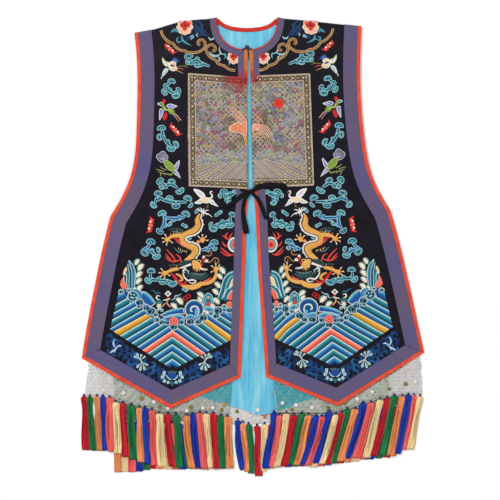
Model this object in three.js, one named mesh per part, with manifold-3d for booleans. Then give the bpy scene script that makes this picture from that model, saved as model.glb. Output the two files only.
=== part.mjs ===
// A xiapei: a sleeveless, open-fronted court vest of black satin, laid flat on its back panel.
// Millimetres. +X runs to the viewer's right, +Y towards the collar and +Z up from the table.
// Left and right are the viewer's. The back lies face down with its lining up, the two fronts
// fold over it at the shoulders, and a knotted net with tassels hangs from each hem.
import * as THREE from "three";
import Module from "manifold-3d";
import { mergeVertices } from "three/addons/utils/BufferGeometryUtils.js";

const wasm = await Module();
wasm.setup();

// ---- Driving dimensions ----
const SEAM = 0.3; // clearance between two pieces that touch
const SATIN = 1.4; // wall of an embroidered front with its interlining
const BACK_WALL = 1.2;
const LINING_WALL = 1.1;
const BAND_WALL = 1.0;
const BADGE_WALL = 1.5;
const NET_WALL = 1.0;
const PIPING_WIDTH = 8.6; // bias binding round the fronts
const NECK_PIPING_WIDTH = 2.8;
const SIDE_BAND = 32.5;
const HEM_BAND = 31;
const OPENING_BAND = 19;
const NECK_BAND = 17;
const PLACKET_BAND = 14.5;
const NECK_BINDING = 10;
const FOLD_RADIUS = 2.0; // inside radius of the shoulder fold
const FOLD_STEPS = 3;
const DRAPE = [8, 48]; // past the back panel's edge, where a front comes down to the table

const LINING_Z = BACK_WALL + SEAM;
const FRONT_Z = LINING_Z + FOLD_RADIUS; // underside of the fronts where they lie on the back
const TRIM_LIFT = SATIN + SEAM; // from a front's underside to what is sewn on it
const PIPING_WALL = TRIM_LIFT + BAND_WALL + 0.3;

const COLOUR = {
  satin: 0x14121c,
  back: 0x16141f,
  band: 0x544c7d,
  piping: 0xe2492f,
  placket: 0xd27a3c,
  lining: 0x52b4d6,
  binding: 0xc62f2a,
  badge: 0xa59a86,
  trim: 0xb08445,
  ribbon: 0x07060a,
  net: 0xa9b0a2,
  tassel: 0xc4202c,
};

// ---- The neck ----
// Both necklines are half ovals hung between the two neck points, the back one shallower.
const NECK = { x: -14.3, y: 545.6, halfWidth: 72.3, frontDrop: 74, backDrop: 22.7, squareness: 2.25 };

function neckPoint(drop, angle, grow = 0) {
  const power = 2 / NECK.squareness;
  const along = Math.cos(angle);
  const down = Math.sin(angle);
  return new THREE.Vector2(
    NECK.x + (NECK.halfWidth + grow) * Math.sign(along) * Math.abs(along) ** power,
    NECK.y - (drop + grow) * Math.abs(down) ** power,
  );
}

// ---- Edges of the fronts, a row for each section from the neck to the hem ----
// [x of the opening edge, y of it, x of the side edge, y of it]
const LEFT_SECTIONS = [
  [-12.7, 471.6, -283.9, 507.4],
  [-12.9, 438, -279.6, 471],
  [-13.0, 404, -276.7, 423],
  [-12.9, 340, -276.7, 365],
  [-12.8, 272, -278.4, 300],
  [-12.5, 204, -280.3, 231],
  [-12.3, 138, -288, 183],
  [-12.5, 111, -300, 147],
  [-14.5, 87, -316.8, 111],
  [-16.2, 64, -341.5, 72],
  [-16.8, 30, -350.4, 39],
  [-17.9, -20, -365, -22],
  [-20.4, -80, -377, -82],
  [-23.0, -140, -389, -142],
  [-25.0, -200, -399.2, -198],
  [-27.3, -262, -405.3, -232],
  [-29.3, -314.2, -410.6, -268.8],
];
const RIGHT_SECTIONS = [
  [-8.9, 471.6, 259.7, 523],
  [-7.8, 438, 257.3, 471],
  [-6.6, 408, 256.3, 423],
  [-5.0, 340, 257.6, 365],
  [-3.0, 272, 261.6, 300],
  [-1.2, 204, 269.8, 231],
  [0.4, 138, 279.8, 183],
  [3.4, 111, 293, 147],
  [5.0, 87, 313.4, 111],
  [6.6, 64, 329, 86],
  [8.2, 30, 343.2, 39],
  [10.0, -20, 358.4, -22],
  [13.4, -80, 372.6, -82],
  [18.2, -140, 386.3, -142],
  [23.0, -200, 394.6, -182],
  [27.2, -262, 402, -216],
  [30.2, -313, 410.6, -254.6],
];
const BADGE_ROWS = [2, 6]; // sections at the badge's top and bottom edges
const HEM_TIP = { left: [-197.5, -388.6], right: [203.5, -383] };
// Shoulder lines where the fold begins, from the neck point outwards.
const LEFT_SHOULDER = [[-105, 541], [-136, 540.5], [-180, 534.8], [-214, 523.5], [-243.4, 514.6]];
const RIGHT_SHOULDER = [[77.5, 541.7], [114, 539.2], [152, 534.8], [190, 531], [219, 527.6]];

// ---- The back, narrower than the two fronts laid together ----
// [x of the left edge, x of the right edge, y of both]
const BACK_SECTIONS = [
  [-283.9, 259.7, 0],
  [-277.5, 255.7, 450],
  [-274, 254, 365],
  [-273, 259, 231],
  [-278, 270, 160],
  [-291, 288, 105],
  [-303, 310, 30],
  [-315, 334, -90],
  [-327, 358, -205],
  [-336, 376.8, 0],
];
const BACK_SHOULDER_Y = [510.7, 526.3];
const BACK_CORNER_Y = [-299, -280];
const BACK_TIP = [26.4, -408.5];

const vec2 = ([x, y]) => new THREE.Vector2(x, y);
const mix = THREE.MathUtils.lerp;

// ---- Sheets of cloth: points with an underside place and an outward direction ----
class Knot {
  constructor(x, y, z = 0, out = new THREE.Vector3(0, 0, 1)) {
    this.place = new THREE.Vector3(x, y, z);
    this.out = out;
  }
}

// A closed wall over a list of polygons of shared knots, each counter-clockwise seen from outside.
// inner and outer are its distances from the knots, and its rim is drawn in by half a seam.
function wall(polygons, inner, outer, drawIn = SEAM / 2) {
  const edges = new Map();
  const key = (a, b) => `${index.get(a)},${index.get(b)}`;
  const index = new Map();
  for (const knot of polygons.flat()) if (!index.has(knot)) index.set(knot, index.size);
  for (const polygon of polygons)
    polygon.forEach((a, i) => {
      const b = polygon[(i + 1) % polygon.length];
      edges.set(key(a, b), [a, b]);
    });
  const rim = [...edges.values()].filter(([a, b]) => !edges.has(key(b, a)));
  const inward = new Map();
  for (const [a, b] of rim) {
    const along = b.place.clone().sub(a.place);
    for (const knot of [a, b]) {
      const side = knot.out.clone().cross(along).normalize();
      inward.set(knot, [...(inward.get(knot) ?? []), side]);
    }
  }
  const places = [...index.keys()].flatMap((knot) => {
    const sides = inward.get(knot) ?? [];
    const shift = new THREE.Vector3();
    if (sides.length) {
      const sum = sides.reduce((total, side) => total.add(side), new THREE.Vector3());
      shift.copy(sum).multiplyScalar((drawIn * sides.length) / Math.max(sum.lengthSq(), 0.5));
    }
    return [inner(knot), outer(knot)].map((far) =>
      knot.place.clone().add(shift).addScaledVector(knot.out, far));
  });
  const low = (knot) => 2 * index.get(knot);
  const faces = [];
  for (const polygon of polygons)
    for (let i = 1; i + 1 < polygon.length; i++) {
      const [a, b, c] = [polygon[0], polygon[i], polygon[i + 1]].map(low);
      faces.push(a + 1, b + 1, c + 1, a, c, b);
    }
  for (const [a, b] of rim) {
    const [p, q] = [low(a), low(b)];
    faces.push(p, q, q + 1, p, q + 1, p + 1);
  }
  return closedGeometry(places, faces);
}

function closedGeometry(places, faces) {
  const geometry = new THREE.BufferGeometry().setFromPoints(places);
  geometry.setIndex(faces);
  geometry.computeVertexNormals();
  return geometry;
}

// The quads of a rectangular array of knots. Rows run down the cloth and columns to the right.
function quads(rows) {
  const cells = [];
  for (let r = 0; r + 1 < rows.length; r++)
    for (let c = 0; c + 1 < rows[r].length; c++)
      cells.push([rows[r][c], rows[r + 1][c], rows[r + 1][c + 1], rows[r][c + 1]]);
  return cells;
}

// Rows of knots that carry a line of cloth over the shoulder fold, the outermost row first.
function foldRows(line) {
  const rows = [];
  for (let step = FOLD_STEPS; step >= 1; step--) {
    const turn = (step / FOLD_STEPS) * (Math.PI / 2);
    rows.push(line.map(({ place }) => new Knot(
      place.x,
      place.y + FOLD_RADIUS * Math.sin(turn),
      place.z - FOLD_RADIUS * (1 - Math.cos(turn)),
      new THREE.Vector3(0, Math.sin(turn), Math.cos(turn)),
    )));
  }
  return [...rows, line];
}

// An outline moved inwards, each of its points by the mitre of the widths of its two edges.
function inset(points, widths) {
  return points.map((point, i) => {
    const before = points[i - 1] ?? null;
    const after = points[i + 1] ?? null;
    const lines = [];
    if (before) lines.push([point.clone().sub(before).normalize(), widths[i - 1]]);
    if (after) lines.push([after.clone().sub(point).normalize(), widths[i]]);
    const normals = lines.map(([along]) => new THREE.Vector2(-along.y, along.x));
    if (lines.length === 1) return point.clone().addScaledVector(normals[0], lines[0][1]);
    const turn = normals[0].cross(normals[1]);
    const [a, b] = lines.map(([, width]) => width);
    if (Math.abs(turn) < 0.02)
      return point.clone().addScaledVector(normals[0].add(normals[1]).normalize(), (a + b) / 2);
    return new THREE.Vector2(
      point.x + (a * normals[1].y - b * normals[0].y) / turn,
      point.y + (b * normals[0].x - a * normals[1].x) / turn,
    );
  });
}

// A cut panel: a field between its left edge, hem and right edge, ringed by a band and piping.
// Its outline runs down the left edge, along the hem and up the right edge.
function cutPanel({ left, right, hem, topOf, bandWidths, height }) {
  const outline = [...left, ...hem.slice(1, -1), ...right.slice().reverse()];
  const down = left.length - 1;
  const across = hem.length - 1;
  const band = outline.slice(1).map((_, i) =>
    bandWidths[i < down ? 0 : i < down + across ? 1 : 2]);
  const rings = [
    outline,
    inset(outline, band.map(() => PIPING_WIDTH)),
    inset(outline, band.map((width) => PIPING_WIDTH + width)),
  ];
  for (const ring of rings)
    for (const end of [ring[0], ring[ring.length - 1]]) end.y = topOf.edge(end.x);
  const knots = rings.map((ring) => ring.map(({ x, y }) => new Knot(x, y, height(x, y))));
  const field = coonsField(rings[2], down, across, topOf.field);
  const rows = field.map((row, r) => row.map(({ x, y }, c) => {
    if (r === down) return knots[2][down + c];
    if (c === 0) return knots[2][r];
    if (c === across) return knots[2][2 * down + across - r];
    return new Knot(x, y, height(x, y));
  }));
  const strip = (ring, from, to) => {
    const cells = [];
    for (let i = from; i < to; i++)
      cells.push([knots[ring][i], knots[ring][i + 1], knots[ring + 1][i + 1], knots[ring + 1][i]]);
    return cells;
  };
  const top = [knots[0][0], knots[1][0], ...rows[0], knots[1].at(-1), knots[0].at(-1)];
  return { rows, strip, top, down, across, last: outline.length - 1 };
}

// Fills the space inside a ring by blending its four sides.
function coonsField(ring, down, across, top) {
  const lefts = ring.slice(0, down + 1);
  const bottoms = ring.slice(down, down + across + 1);
  const rights = ring.slice(down + across).reverse();
  const tops = top(lefts[0], rights[0], across);
  return lefts.map((leftPoint, r) => bottoms.map((bottomPoint, c) => {
    const t = r / down;
    const s = c / across;
    const blend = (axis) =>
      mix(tops[c][axis], bottomPoint[axis], t) + mix(leftPoint[axis], rights[r][axis], s)
      - mix(mix(tops[0][axis], tops[across][axis], s),
        mix(bottoms[0][axis], bottoms[across][axis], s), t);
    return { x: blend("x"), y: blend("y") };
  }));
}

// Points along a broken line at even shares of its length.
function spaced(corners, count) {
  const path = new THREE.CurvePath();
  for (let i = 1; i < corners.length; i++) path.add(new THREE.LineCurve(corners[i - 1], corners[i]));
  return Array.from({ length: count + 1 }, (_, i) => path.getPointAt(i / count));
}

// The y of a broken line at an x.
function heightOf(points, x) {
  const line = [...points].sort((a, b) => a.x - b.x);
  const at = Math.min(Math.max(line.findIndex((p) => p.x >= x), 1), line.length - 1);
  const i = x > line.at(-1).x ? line.length - 1 : at;
  const share = (x - line[i - 1].x) / (line[i].x - line[i - 1].x);
  return mix(line[i - 1].y, line[i].y, share);
}

// ---- Where the fronts lie: on the back, or on the table beyond its edges ----
const backEdge = BACK_SECTIONS.map(([left, right, y], i) => {
  const lastRow = i === BACK_SECTIONS.length - 1;
  const ys = i === 0 ? BACK_SHOULDER_Y : lastRow ? BACK_CORNER_Y : [y, y];
  return { left: new THREE.Vector2(left, ys[0]), right: new THREE.Vector2(right, ys[1]) };
});
const BACK_HEM = [backEdge.at(-1).left, vec2(BACK_TIP), backEdge.at(-1).right];
const smooth = (x, from, to) => THREE.MathUtils.smoothstep(x, from, to);

function backEdgeX(side, y) {
  const points = backEdge.map((row) => new THREE.Vector2(row[side].y, row[side].x));
  return heightOf(points, THREE.MathUtils.clamp(y, BACK_CORNER_Y[side === "left" ? 0 : 1], 500));
}

// Share of the way down from the back panel to the table, past one of its side edges.
function beyondBack(x, y) {
  const pastLeft = backEdgeX("left", y) - x;
  const pastRight = x - backEdgeX("right", y);
  return smooth(Math.max(pastLeft, pastRight), ...DRAPE);
}

// Long shallow waves of the fronts below the badge.
const WAVES = [
  { x: -330, y: 20, long: 90, wide: 26, high: 1.5, turn: 0.5 },
  { x: -120, y: -40, long: 150, wide: 34, high: 0.9, turn: 1.35 },
  { x: -260, y: -180, long: 130, wide: 40, high: 1.0, turn: 1.1 },
  { x: 335, y: 5, long: 90, wide: 26, high: 1.4, turn: -0.5 },
  { x: 150, y: -50, long: 150, wide: 34, high: 0.9, turn: -1.3 },
  { x: 285, y: -170, long: 130, wide: 40, high: 1.0, turn: -1.0 },
];

function waves(x, y) {
  let rise = 0;
  for (const wave of WAVES) {
    const [dx, dy] = [x - wave.x, y - wave.y];
    const along = dx * Math.cos(wave.turn) + dy * Math.sin(wave.turn);
    const aside = dy * Math.cos(wave.turn) - dx * Math.sin(wave.turn);
    rise += wave.high * Math.exp(-((along / wave.long) ** 2) - (aside / wave.wide) ** 2);
  }
  return rise;
}

const frontHeight = (x, y) => FRONT_Z * (1 - beyondBack(x, y)) + waves(x, y);

// ---- Building the garment ----
const garment = new THREE.Group();
const materials = Object.fromEntries(Object.entries(COLOUR).map(([name, color]) =>
  [name, new THREE.MeshStandardMaterial({ color, roughness: 0.75, metalness: 0 })]));

function add(name, material, geometry) {
  const mesh = new THREE.Mesh(geometry, materials[material]);
  mesh.name = name;
  garment.add(mesh);
}

const at = (distance) => () => distance;

// One front: its panel, three bands, three pipings and the two placket pieces above the badge.
function buildFront(side, sections, shoulder) {
  const sideEdge = sections.map(([, , x, y]) => new THREE.Vector2(x, y));
  const opening = sections.map(([x, y]) => new THREE.Vector2(x, y));
  const isLeft = side === "left";
  const [left, right] = isLeft ? [sideEdge, opening] : [opening, sideEdge];
  const tip = vec2(HEM_TIP[side]);
  const hemParts = isLeft ? [4, 6] : [6, 4];
  const hem = [
    ...spaced([left.at(-1), tip], hemParts[0]),
    ...spaced([tip, right.at(-1)], hemParts[1]).slice(1),
  ];
  const shoulderLine = shoulder.map(vec2);
  const neckSteps = 5;
  const frontNeck = (x) => {
    const reach = Math.min(Math.abs(x - NECK.x) / NECK.halfWidth, 1);
    return NECK.y - NECK.frontDrop * (1 - reach ** NECK.squareness) ** (1 / NECK.squareness);
  };
  const outerShoulder = [shoulderLine.at(-1), sideEdge[0]];
  const topOf = {
    edge: (x) => Math.abs(x - NECK.x) < NECK.halfWidth ? frontNeck(x) : heightOf(outerShoulder, x),
    field: (start, end) => {
      const inner = isLeft ? end : start;
      const first = Math.acos(Math.min(1, (Math.abs(inner.x - NECK.x) / NECK.halfWidth)
        ** (NECK.squareness / 2)));
      const neck = Array.from({ length: neckSteps + 1 }, (_, i) => {
        const angle = first * (1 - i / neckSteps);
        return neckPoint(NECK.frontDrop, isLeft ? Math.PI - angle : angle);
      });
      const line = [...neck, ...shoulderLine];
      return isLeft ? line.reverse() : line;
    },
  };
  const bandWidths = isLeft ? [SIDE_BAND, HEM_BAND, OPENING_BAND]
    : [OPENING_BAND, HEM_BAND, SIDE_BAND];
  const panel = cutPanel({ left, right, hem, topOf, bandWidths, height: frontHeight });
  const { down, across, last, strip, rows } = panel;
  const span = {
    left: [0, down],
    hem: [down, down + across],
    right: [down + across, last],
  };
  // Outline steps of the opening edge from its row a to its row b.
  const openingSpan = (a, b) => (isLeft ? [last - b, last - a] : [a, b]);
  const overlap = isLeft ? panel.top.slice(0, 3 + shoulder.length)
    : panel.top.slice(-3 - shoulder.length);
  const ends = isLeft ? [0, 1, 2] : [-1, -2, -3];
  const [pipingOut, pipingIn, bandIn] = ends.map((i) => panel.top.at(i));
  const folded = (line) => quads(foldRows(line));

  const onShoulder = isLeft ? overlap.slice(1) : overlap.slice(0, -1);
  const badgeSpan = openingSpan(...BADGE_ROWS);
  add(`${side}_front`, "satin", wall([
    ...quads(rows),
    ...strip(1, 0, last),
    ...strip(0, ...badgeSpan),
    ...folded(onShoulder),
  ], at(0), at(SATIN)));

  const ordered = (...line) => (isLeft ? line : line.reverse());
  const sideSpan = span[isLeft ? "left" : "right"];
  const liftedBand = [at(TRIM_LIFT), at(TRIM_LIFT + BAND_WALL)];
  const lowOpening = openingSpan(BADGE_ROWS[1], down);
  add(`${side}_side_band`, "band", wall(
    [...strip(1, ...sideSpan), ...folded(ordered(pipingIn, bandIn))], ...liftedBand));
  add(`${side}_hem_band`, "band", wall(strip(1, ...span.hem), ...liftedBand));
  add(`${side}_opening_band`, "band", wall(strip(1, ...lowOpening), ...liftedBand));
  add(`${side}_side_piping`, "piping", wall(
    [...strip(0, ...sideSpan), ...folded(ordered(pipingOut, pipingIn))], at(0), at(PIPING_WALL)));
  add(`${side}_hem_piping`, "piping", wall(strip(0, ...span.hem), at(0), at(PIPING_WALL)));
  add(`${side}_opening_piping`, "piping", wall(
    strip(0, ...lowOpening), at(0), at(PIPING_WALL)));
  add(`${side}_placket_piping`, "placket", wall(
    strip(0, ...openingSpan(0, BADGE_ROWS[0])), at(0), at(PIPING_WALL)));
  return { opening, isLeft, frontNeck };
}

// A flat piece sewn on a front where it lies level, from its rows of [x, y] points.
function sewnOn(rows, thickness) {
  const knots = rows.map((row) => row.map(([x, y]) => new Knot(x, y, FRONT_Z)));
  return wall(quads(knots), at(TRIM_LIFT), at(TRIM_LIFT + thickness));
}

// The band and fine piping round the front neckline, and the short band down to the badge.
function buildNeckTrim(side, { opening, isLeft, frontNeck }) {
  const steps = 9;
  const sign = isLeft ? -1 : 1;
  const edgeX = opening[0].x + sign * PIPING_WIDTH;
  const start = Math.acos((Math.abs(edgeX - NECK.x) / NECK.halfWidth) ** (NECK.squareness / 2));
  const ring = (grow) => Array.from({ length: steps + 1 }, (_, i) => {
    const angle = start * (1 - i / steps);
    const p = neckPoint(NECK.frontDrop, isLeft ? Math.PI - angle : angle, grow);
    return [p.x, p.y];
  });
  const [edge, stitched, outer] = [0, NECK_PIPING_WIDTH, NECK_BAND].map(ring);
  // Mitre of the neck band and the placket band.
  const mitreX = edgeX + sign * PLACKET_BAND;
  outer[0] = [mitreX, frontNeck(mitreX) - NECK_BAND];
  stitched[0] = [edgeX, frontNeck(edgeX) - NECK_PIPING_WIDTH];
  const pair = (a, b) => (isLeft ? [b, a] : [a, b]);
  const across = (inner, outside) => inner.map((p, i) => pair(p, outside[i]));
  const upright = (lines) => lines.slice().reverse();
  add(`${side}_neck_piping`, "binding", sewnOn(upright(across(edge, stitched)), BAND_WALL + 0.3));
  add(`${side}_neck_band`, "band", sewnOn(upright(across(stitched, outer)), BAND_WALL));
  const [badgeX, badgeFarX, badgeY, badgeFarY] = BADGE_HALVES[side][0];
  const onBadge = (x) => [x, mix(badgeY, badgeFarY, (x - badgeX) / (badgeFarX - badgeX)) + SEAM];
  const bottomX = opening[BADGE_ROWS[0]].x + sign * PIPING_WIDTH;
  add(`${side}_placket_band`, "band", sewnOn([
    pair(stitched[0], outer[0]),
    pair(onBadge(bottomX), onBadge(bottomX + sign * PLACKET_BAND)),
  ], BAND_WALL));
}

// ---- The rank badge, in two halves that meet at the opening ----
// [x at the opening, x at the outside, y at the opening, y at the outside] down each half
const BADGE_HALVES = {
  left: [[-12.9, -156, 403.3, 414.8], [-12.9, -156.6, 290, 300], [-12.4, -156, 200, 205],
    [-12.5, -154.1, 138.5, 143]],
  right: [[-6.4, 137.3, 407.3, 413.6], [-3.4, 141, 290, 299], [-1.0, 144, 200, 205],
    [0.3, 146.4, 138.5, 144.5]],
};

function buildBadge(side) {
  const columns = 4;
  const rows = BADGE_HALVES[side].map(([innerX, outerX, innerY, outerY]) => {
    const line = Array.from({ length: columns + 1 }, (_, i) => {
      const share = i / columns;
      return [mix(innerX, outerX, share), mix(innerY, outerY, share)];
    });
    return side === "left" ? line.reverse() : line;
  });
  add(`${side}_badge`, "badge", sewnOn(rows, BADGE_WALL));
}

// ---- The back: panel, band and piping side by side under the lining ----
const BACK_BAND = 30;

function buildBack() {
  const left = backEdge.map((row) => row.left.clone());
  const right = backEdge.map((row) => row.right.clone());
  const tip = vec2(BACK_TIP);
  const hem = [...spaced([left.at(-1), tip], 7), ...spaced([tip, right.at(-1)], 7).slice(1)];
  const shoulderTops = [...LEFT_SHOULDER, ...RIGHT_SHOULDER].map(([x, y]) =>
    new THREE.Vector2(x, y + FOLD_RADIUS + SATIN));
  const [leftShoulder, rightShoulder] = [shoulderTops.slice(0, 5), shoulderTops.slice(5)];
  const neckSteps = 4;
  const topOf = {
    edge: (x) => heightOf([
      backEdge[0].left, leftShoulder.at(-1), rightShoulder.at(-1), backEdge[0].right], x),
    field: (start, end, across) => {
      const neck = Array.from({ length: neckSteps + 1 }, (_, i) =>
        neckPoint(NECK.backDrop, Math.PI * (1 - i / neckSteps)));
      const rim = (across - neckSteps - 2) / 2;
      return [
        ...leftShoulder.slice(-rim).reverse(), leftShoulder[0],
        ...neck,
        rightShoulder[0], ...rightShoulder.slice(-rim),
      ];
    },
  };
  const panel = cutPanel({
    left, right, hem, topOf, bandWidths: [BACK_BAND, BACK_BAND, BACK_BAND], height: at(0),
  });
  const flat = [at(0), at(BACK_WALL)];
  add("back_panel", "back", wall(quads(panel.rows), ...flat));
  const spans = {
    left: [0, panel.down],
    hem: [panel.down, panel.down + panel.across],
    right: [panel.down + panel.across, panel.last],
  };
  for (const [where, span] of Object.entries(spans)) {
    add(`back_${where}_band`, "band", wall(panel.strip(1, ...span), ...flat));
    add(`back_${where}_piping`, "piping", wall(panel.strip(0, ...span), ...flat));
  }
}

// ---- The lining of the back, face up, with soft creases where the opening shows it ----
// [x at y = 0, lean in x per y, half width, height, top y, bottom y]
const CREASES = [
  [-6, 0.01, 6, 0.5, 380, -300],
  [4, -0.03, 7, 0.55, 120, -400],
  [16, -0.035, 8, 0.6, -40, -400],
  [-14, 0.045, 6, 0.5, -120, -360],
];

function creases(x, y) {
  let rise = 0;
  for (const [x0, lean, halfWidth, high, top, bottom] of CREASES) {
    const aside = (x - x0 - lean * y) / halfWidth;
    const ends = smooth(y, bottom, bottom + 60) * (1 - smooth(y, top - 60, top));
    rise += high * Math.exp(-(aside ** 2)) * ends;
  }
  return Math.min(rise, 0.6);
}

function neckRing(grow) {
  const steps = 14;
  const shy = 0.12; // the angle left at each shoulder
  return Array.from({ length: steps + 1 }, (_, i) =>
    neckPoint(NECK.backDrop, mix(Math.PI - shy, shy, i / steps), grow));
}

function buildLining() {
  const margin = PIPING_WIDTH / 2; // the lining is felled just inside the piped sides
  const hemMargin = 0.4; // and to the very edge of the hem
  const [start, end] = [backEdge[0].left.x + margin, backEdge[0].right.x - margin];
  const shoulders = [LEFT_SHOULDER, RIGHT_SHOULDER].map((line) =>
    [0, 2, 4].map((i) => new THREE.Vector2(line[i][0], line[i][1] - 1)));
  const tops = [
    new THREE.Vector2(start, backEdge[0].left.y - 1),
    ...shoulders[0].reverse(), ...neckRing(NECK_BINDING), ...shoulders[1],
    new THREE.Vector2(end, backEdge[0].right.y - 1),
  ];
  const hem = BACK_HEM.map((p) => p.clone());
  const [hemStart, hemEnd] = [hem[0].x + margin, hem[2].x - margin];
  const levels = [0, 0.12, 0.28, 0.44, 0.56, 0.7, 0.85, 1];
  const rows = levels.map((level) => tops.map((top) => {
    const share = (top.x - start) / (end - start);
    const bottomX = mix(hemStart, hemEnd, share);
    const y = mix(top.y, heightOf(hem, bottomX) + hemMargin, level);
    const x = mix(backEdgeX("left", y) + margin, backEdgeX("right", y) - margin, share);
    return new Knot(level === 0 ? top.x : level === 1 ? bottomX : x, y, LINING_Z);
  }));
  add("back_lining", "lining", wall(quads(rows), at(0),
    ({ place }) => LINING_WALL + creases(place.x, place.y)));
  const ring = (grow) => neckRing(grow).map(({ x, y }) => new Knot(x, y, LINING_Z));
  add("back_neck_binding", "binding", wall(
    quads([ring(0), ring(NECK_BINDING - SEAM)]), at(0), at(LINING_WALL + 0.3)));
}

// ---- The cloud-shaped collar line: two couched cords side by side on each front ----
const TRIM_WIDTH = 5.2;
// Scallops from the shoulder to the scroll, then from the scroll to the placket, as [x, y]
// from the neck's centre line, with x outwards.
const SCALLOPS = [
  [[206, 517], [199, 503], [188, 490], [175, 483], [166, 477], [152, 470], [136, 467], [122, 467],
    [110, 470], [101, 477], [99, 488], [104, 496], [112, 498], [118, 492], [115, 485]],
  [[31, 421], [46, 424], [59, 432], [70, 436], [79, 445], [90, 452], [97, 462], [99, 472],
    [94, 481], [86, 484], [78, 480], [77, 471], [85, 467]],
];

function buildCollarTrim(side) {
  const sign = side === "left" ? -1 : 1;
  const tilt = side === "left" ? 0 : 0.02; // the right front lies a little higher
  const cords = SCALLOPS.map((points) => {
    const curve = new THREE.CatmullRomCurve3(points.map(([x, y]) =>
      new THREE.Vector3(NECK.x + sign * x, y + tilt * x, 0)));
    const count = Math.round(points.length * 1.3);
    const rows = Array.from({ length: count + 1 }, (_, i) => {
      const place = curve.getPointAt(i / count);
      const along = curve.getTangentAt(i / count);
      return [-1, 1].map((edge) => [
        place.x - (edge * along.y * TRIM_WIDTH) / 2,
        place.y + (edge * along.x * TRIM_WIDTH) / 2,
      ]);
    });
    return solid(sewnOn(rows, BAND_WALL + 0.2));
  });
  add(`${side}_collar_trim`, "trim", meshOf(cords[0].add(cords[1])));
}

// ---- Booleans ----
function solid(geometry) {
  const bare = new THREE.BufferGeometry().setAttribute("position", geometry.getAttribute("position"));
  bare.setIndex(geometry.index);
  const merged = mergeVertices(bare, 1e-4);
  const made = new wasm.Manifold(new wasm.Mesh({
    numProp: 3,
    vertProperties: merged.attributes.position.array,
    triVerts: new Uint32Array(merged.index.array),
  }));
  return made;
}

function meshOf(manifold) {
  const { vertProperties, triVerts } = manifold.getMesh();
  const geometry = new THREE.BufferGeometry();
  geometry.setAttribute("position", new THREE.BufferAttribute(vertProperties, 3));
  geometry.setIndex(new THREE.BufferAttribute(triVerts, 1));
  return geometry;
}

const joined = (solids) => meshOf(wasm.Manifold.union(solids));

// A closed body through rings of points, all with the same number of corners.
function loft(rings) {
  const corners = rings[0].length;
  const places = rings.flat();
  const faces = [];
  for (let r = 0; r + 1 < rings.length; r++)
    for (let c = 0; c < corners; c++) {
      const [a, b] = [r * corners + c, r * corners + ((c + 1) % corners)];
      faces.push(a, b, b + corners, a, b + corners, a + corners);
    }
  const end = (rings.length - 1) * corners;
  for (let c = 1; c + 1 < corners; c++) faces.push(0, c + 1, c, end, end + c, end + c + 1);
  return closedGeometry(places, faces);
}

// A ribbon or lock along a path of {x, y, z, width, height}, lying on its z.
function ribbon(path, corners) {
  return loft(path.map((here, i) => {
    const before = path[Math.max(i - 1, 0)];
    const after = path[Math.min(i + 1, path.length - 1)];
    const along = new THREE.Vector2(after.x - before.x, after.y - before.y).normalize();
    return corners.map(([aside, up]) => new THREE.Vector3(
      here.x - along.y * aside * here.width,
      here.y + along.x * aside * here.width,
      here.z + up * here.height,
    ));
  }));
}
// Cross-sections, counter-clockwise looking along the path: [share of width, share of height]
const FLAT_SECTION = [[0.5, 0], [0.5, 0.6], [0.2, 1], [-0.2, 1], [-0.5, 0.6], [-0.5, 0]];
const LOCK_SECTION = [[0.5, 0], [0, 1], [-0.5, 0]];

// ---- The ribbon tie below the badge and the knotted button at the neck ----
const TIE_Z = FRONT_Z + TRIM_LIFT + BADGE_WALL + SEAM;
const TIE_KNOT = { x: -5.5, y: 130.5, radius: 7 };
// Each tail from the knot outwards: [x, y, width]
const TAILS = [
  [[-4, 131, 9], [8, 141, 10], [28, 146, 11], [52, 146.5, 11], [72, 145, 10], [79, 141, 9]],
  [[-8, 130, 9], [-22, 124, 10], [-38, 112, 10], [-54, 100, 9], [-70, 92, 8]],
  [[-7, 127, 10], [-16, 112, 11], [-20, 90, 12], [-20, 60, 13], [-17, 34, 13], [-16, 28, 11]],
  [[-3, 128, 9], [12, 112, 9], [22, 92, 9], [28, 74, 9], [31, 66, 8]],
];

function buildTie() {
  const tails = TAILS.map((points) => solid(ribbon(points.map(([x, y, width], i) => ({
    x, y, width, z: TIE_Z + (i === 0 ? 0.8 : 0), height: i === 0 ? 3 : 1.8,
  })), FLAT_SECTION)));
  const knot = new THREE.SphereGeometry(TIE_KNOT.radius, 8, 5);
  knot.scale(1, 0.8, 0.42);
  knot.translate(TIE_KNOT.x, TIE_KNOT.y, TIE_Z + TIE_KNOT.radius * 0.42);
  add("tie", "ribbon", joined([solid(knot), ...tails]));
}

const BUTTON = { x: -14.5, y: 476, radius: 5.2 };

function buildButton() {
  const z = FRONT_Z + TRIM_LIFT + BAND_WALL + 0.3 + SEAM;
  const ball = new THREE.SphereGeometry(BUTTON.radius, 10, 7);
  ball.scale(1.1, 1, 0.7);
  ball.translate(BUTTON.x, BUTTON.y, z + BUTTON.radius * 0.7);
  const loop = ribbon([-16, -8, 0, 8, 16].map((dx) => ({
    x: BUTTON.x + dx, y: BUTTON.y - 3 + 0.12 * Math.abs(dx), z, width: 3.2, height: 2,
  })), FLAT_SECTION);
  add("neck_button", "band", joined([solid(ball), solid(loop)]));
}

// ---- Nets ----
// A front's net comes down over the back's hem and its net, and to the table beyond them.
const NET_FALL = [-40, -3]; // from the back's hem, where the fronts' nets rise onto it

function netHeight(x, y) {
  const onNet = (NET_WALL + SEAM) * (1 - beyondBack(x, y));
  const onHem = FRONT_Z * (1 - beyondBack(x, y));
  return mix(onNet, onHem, smooth(y - heightOf(BACK_HEM, x), ...NET_FALL));
}

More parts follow.
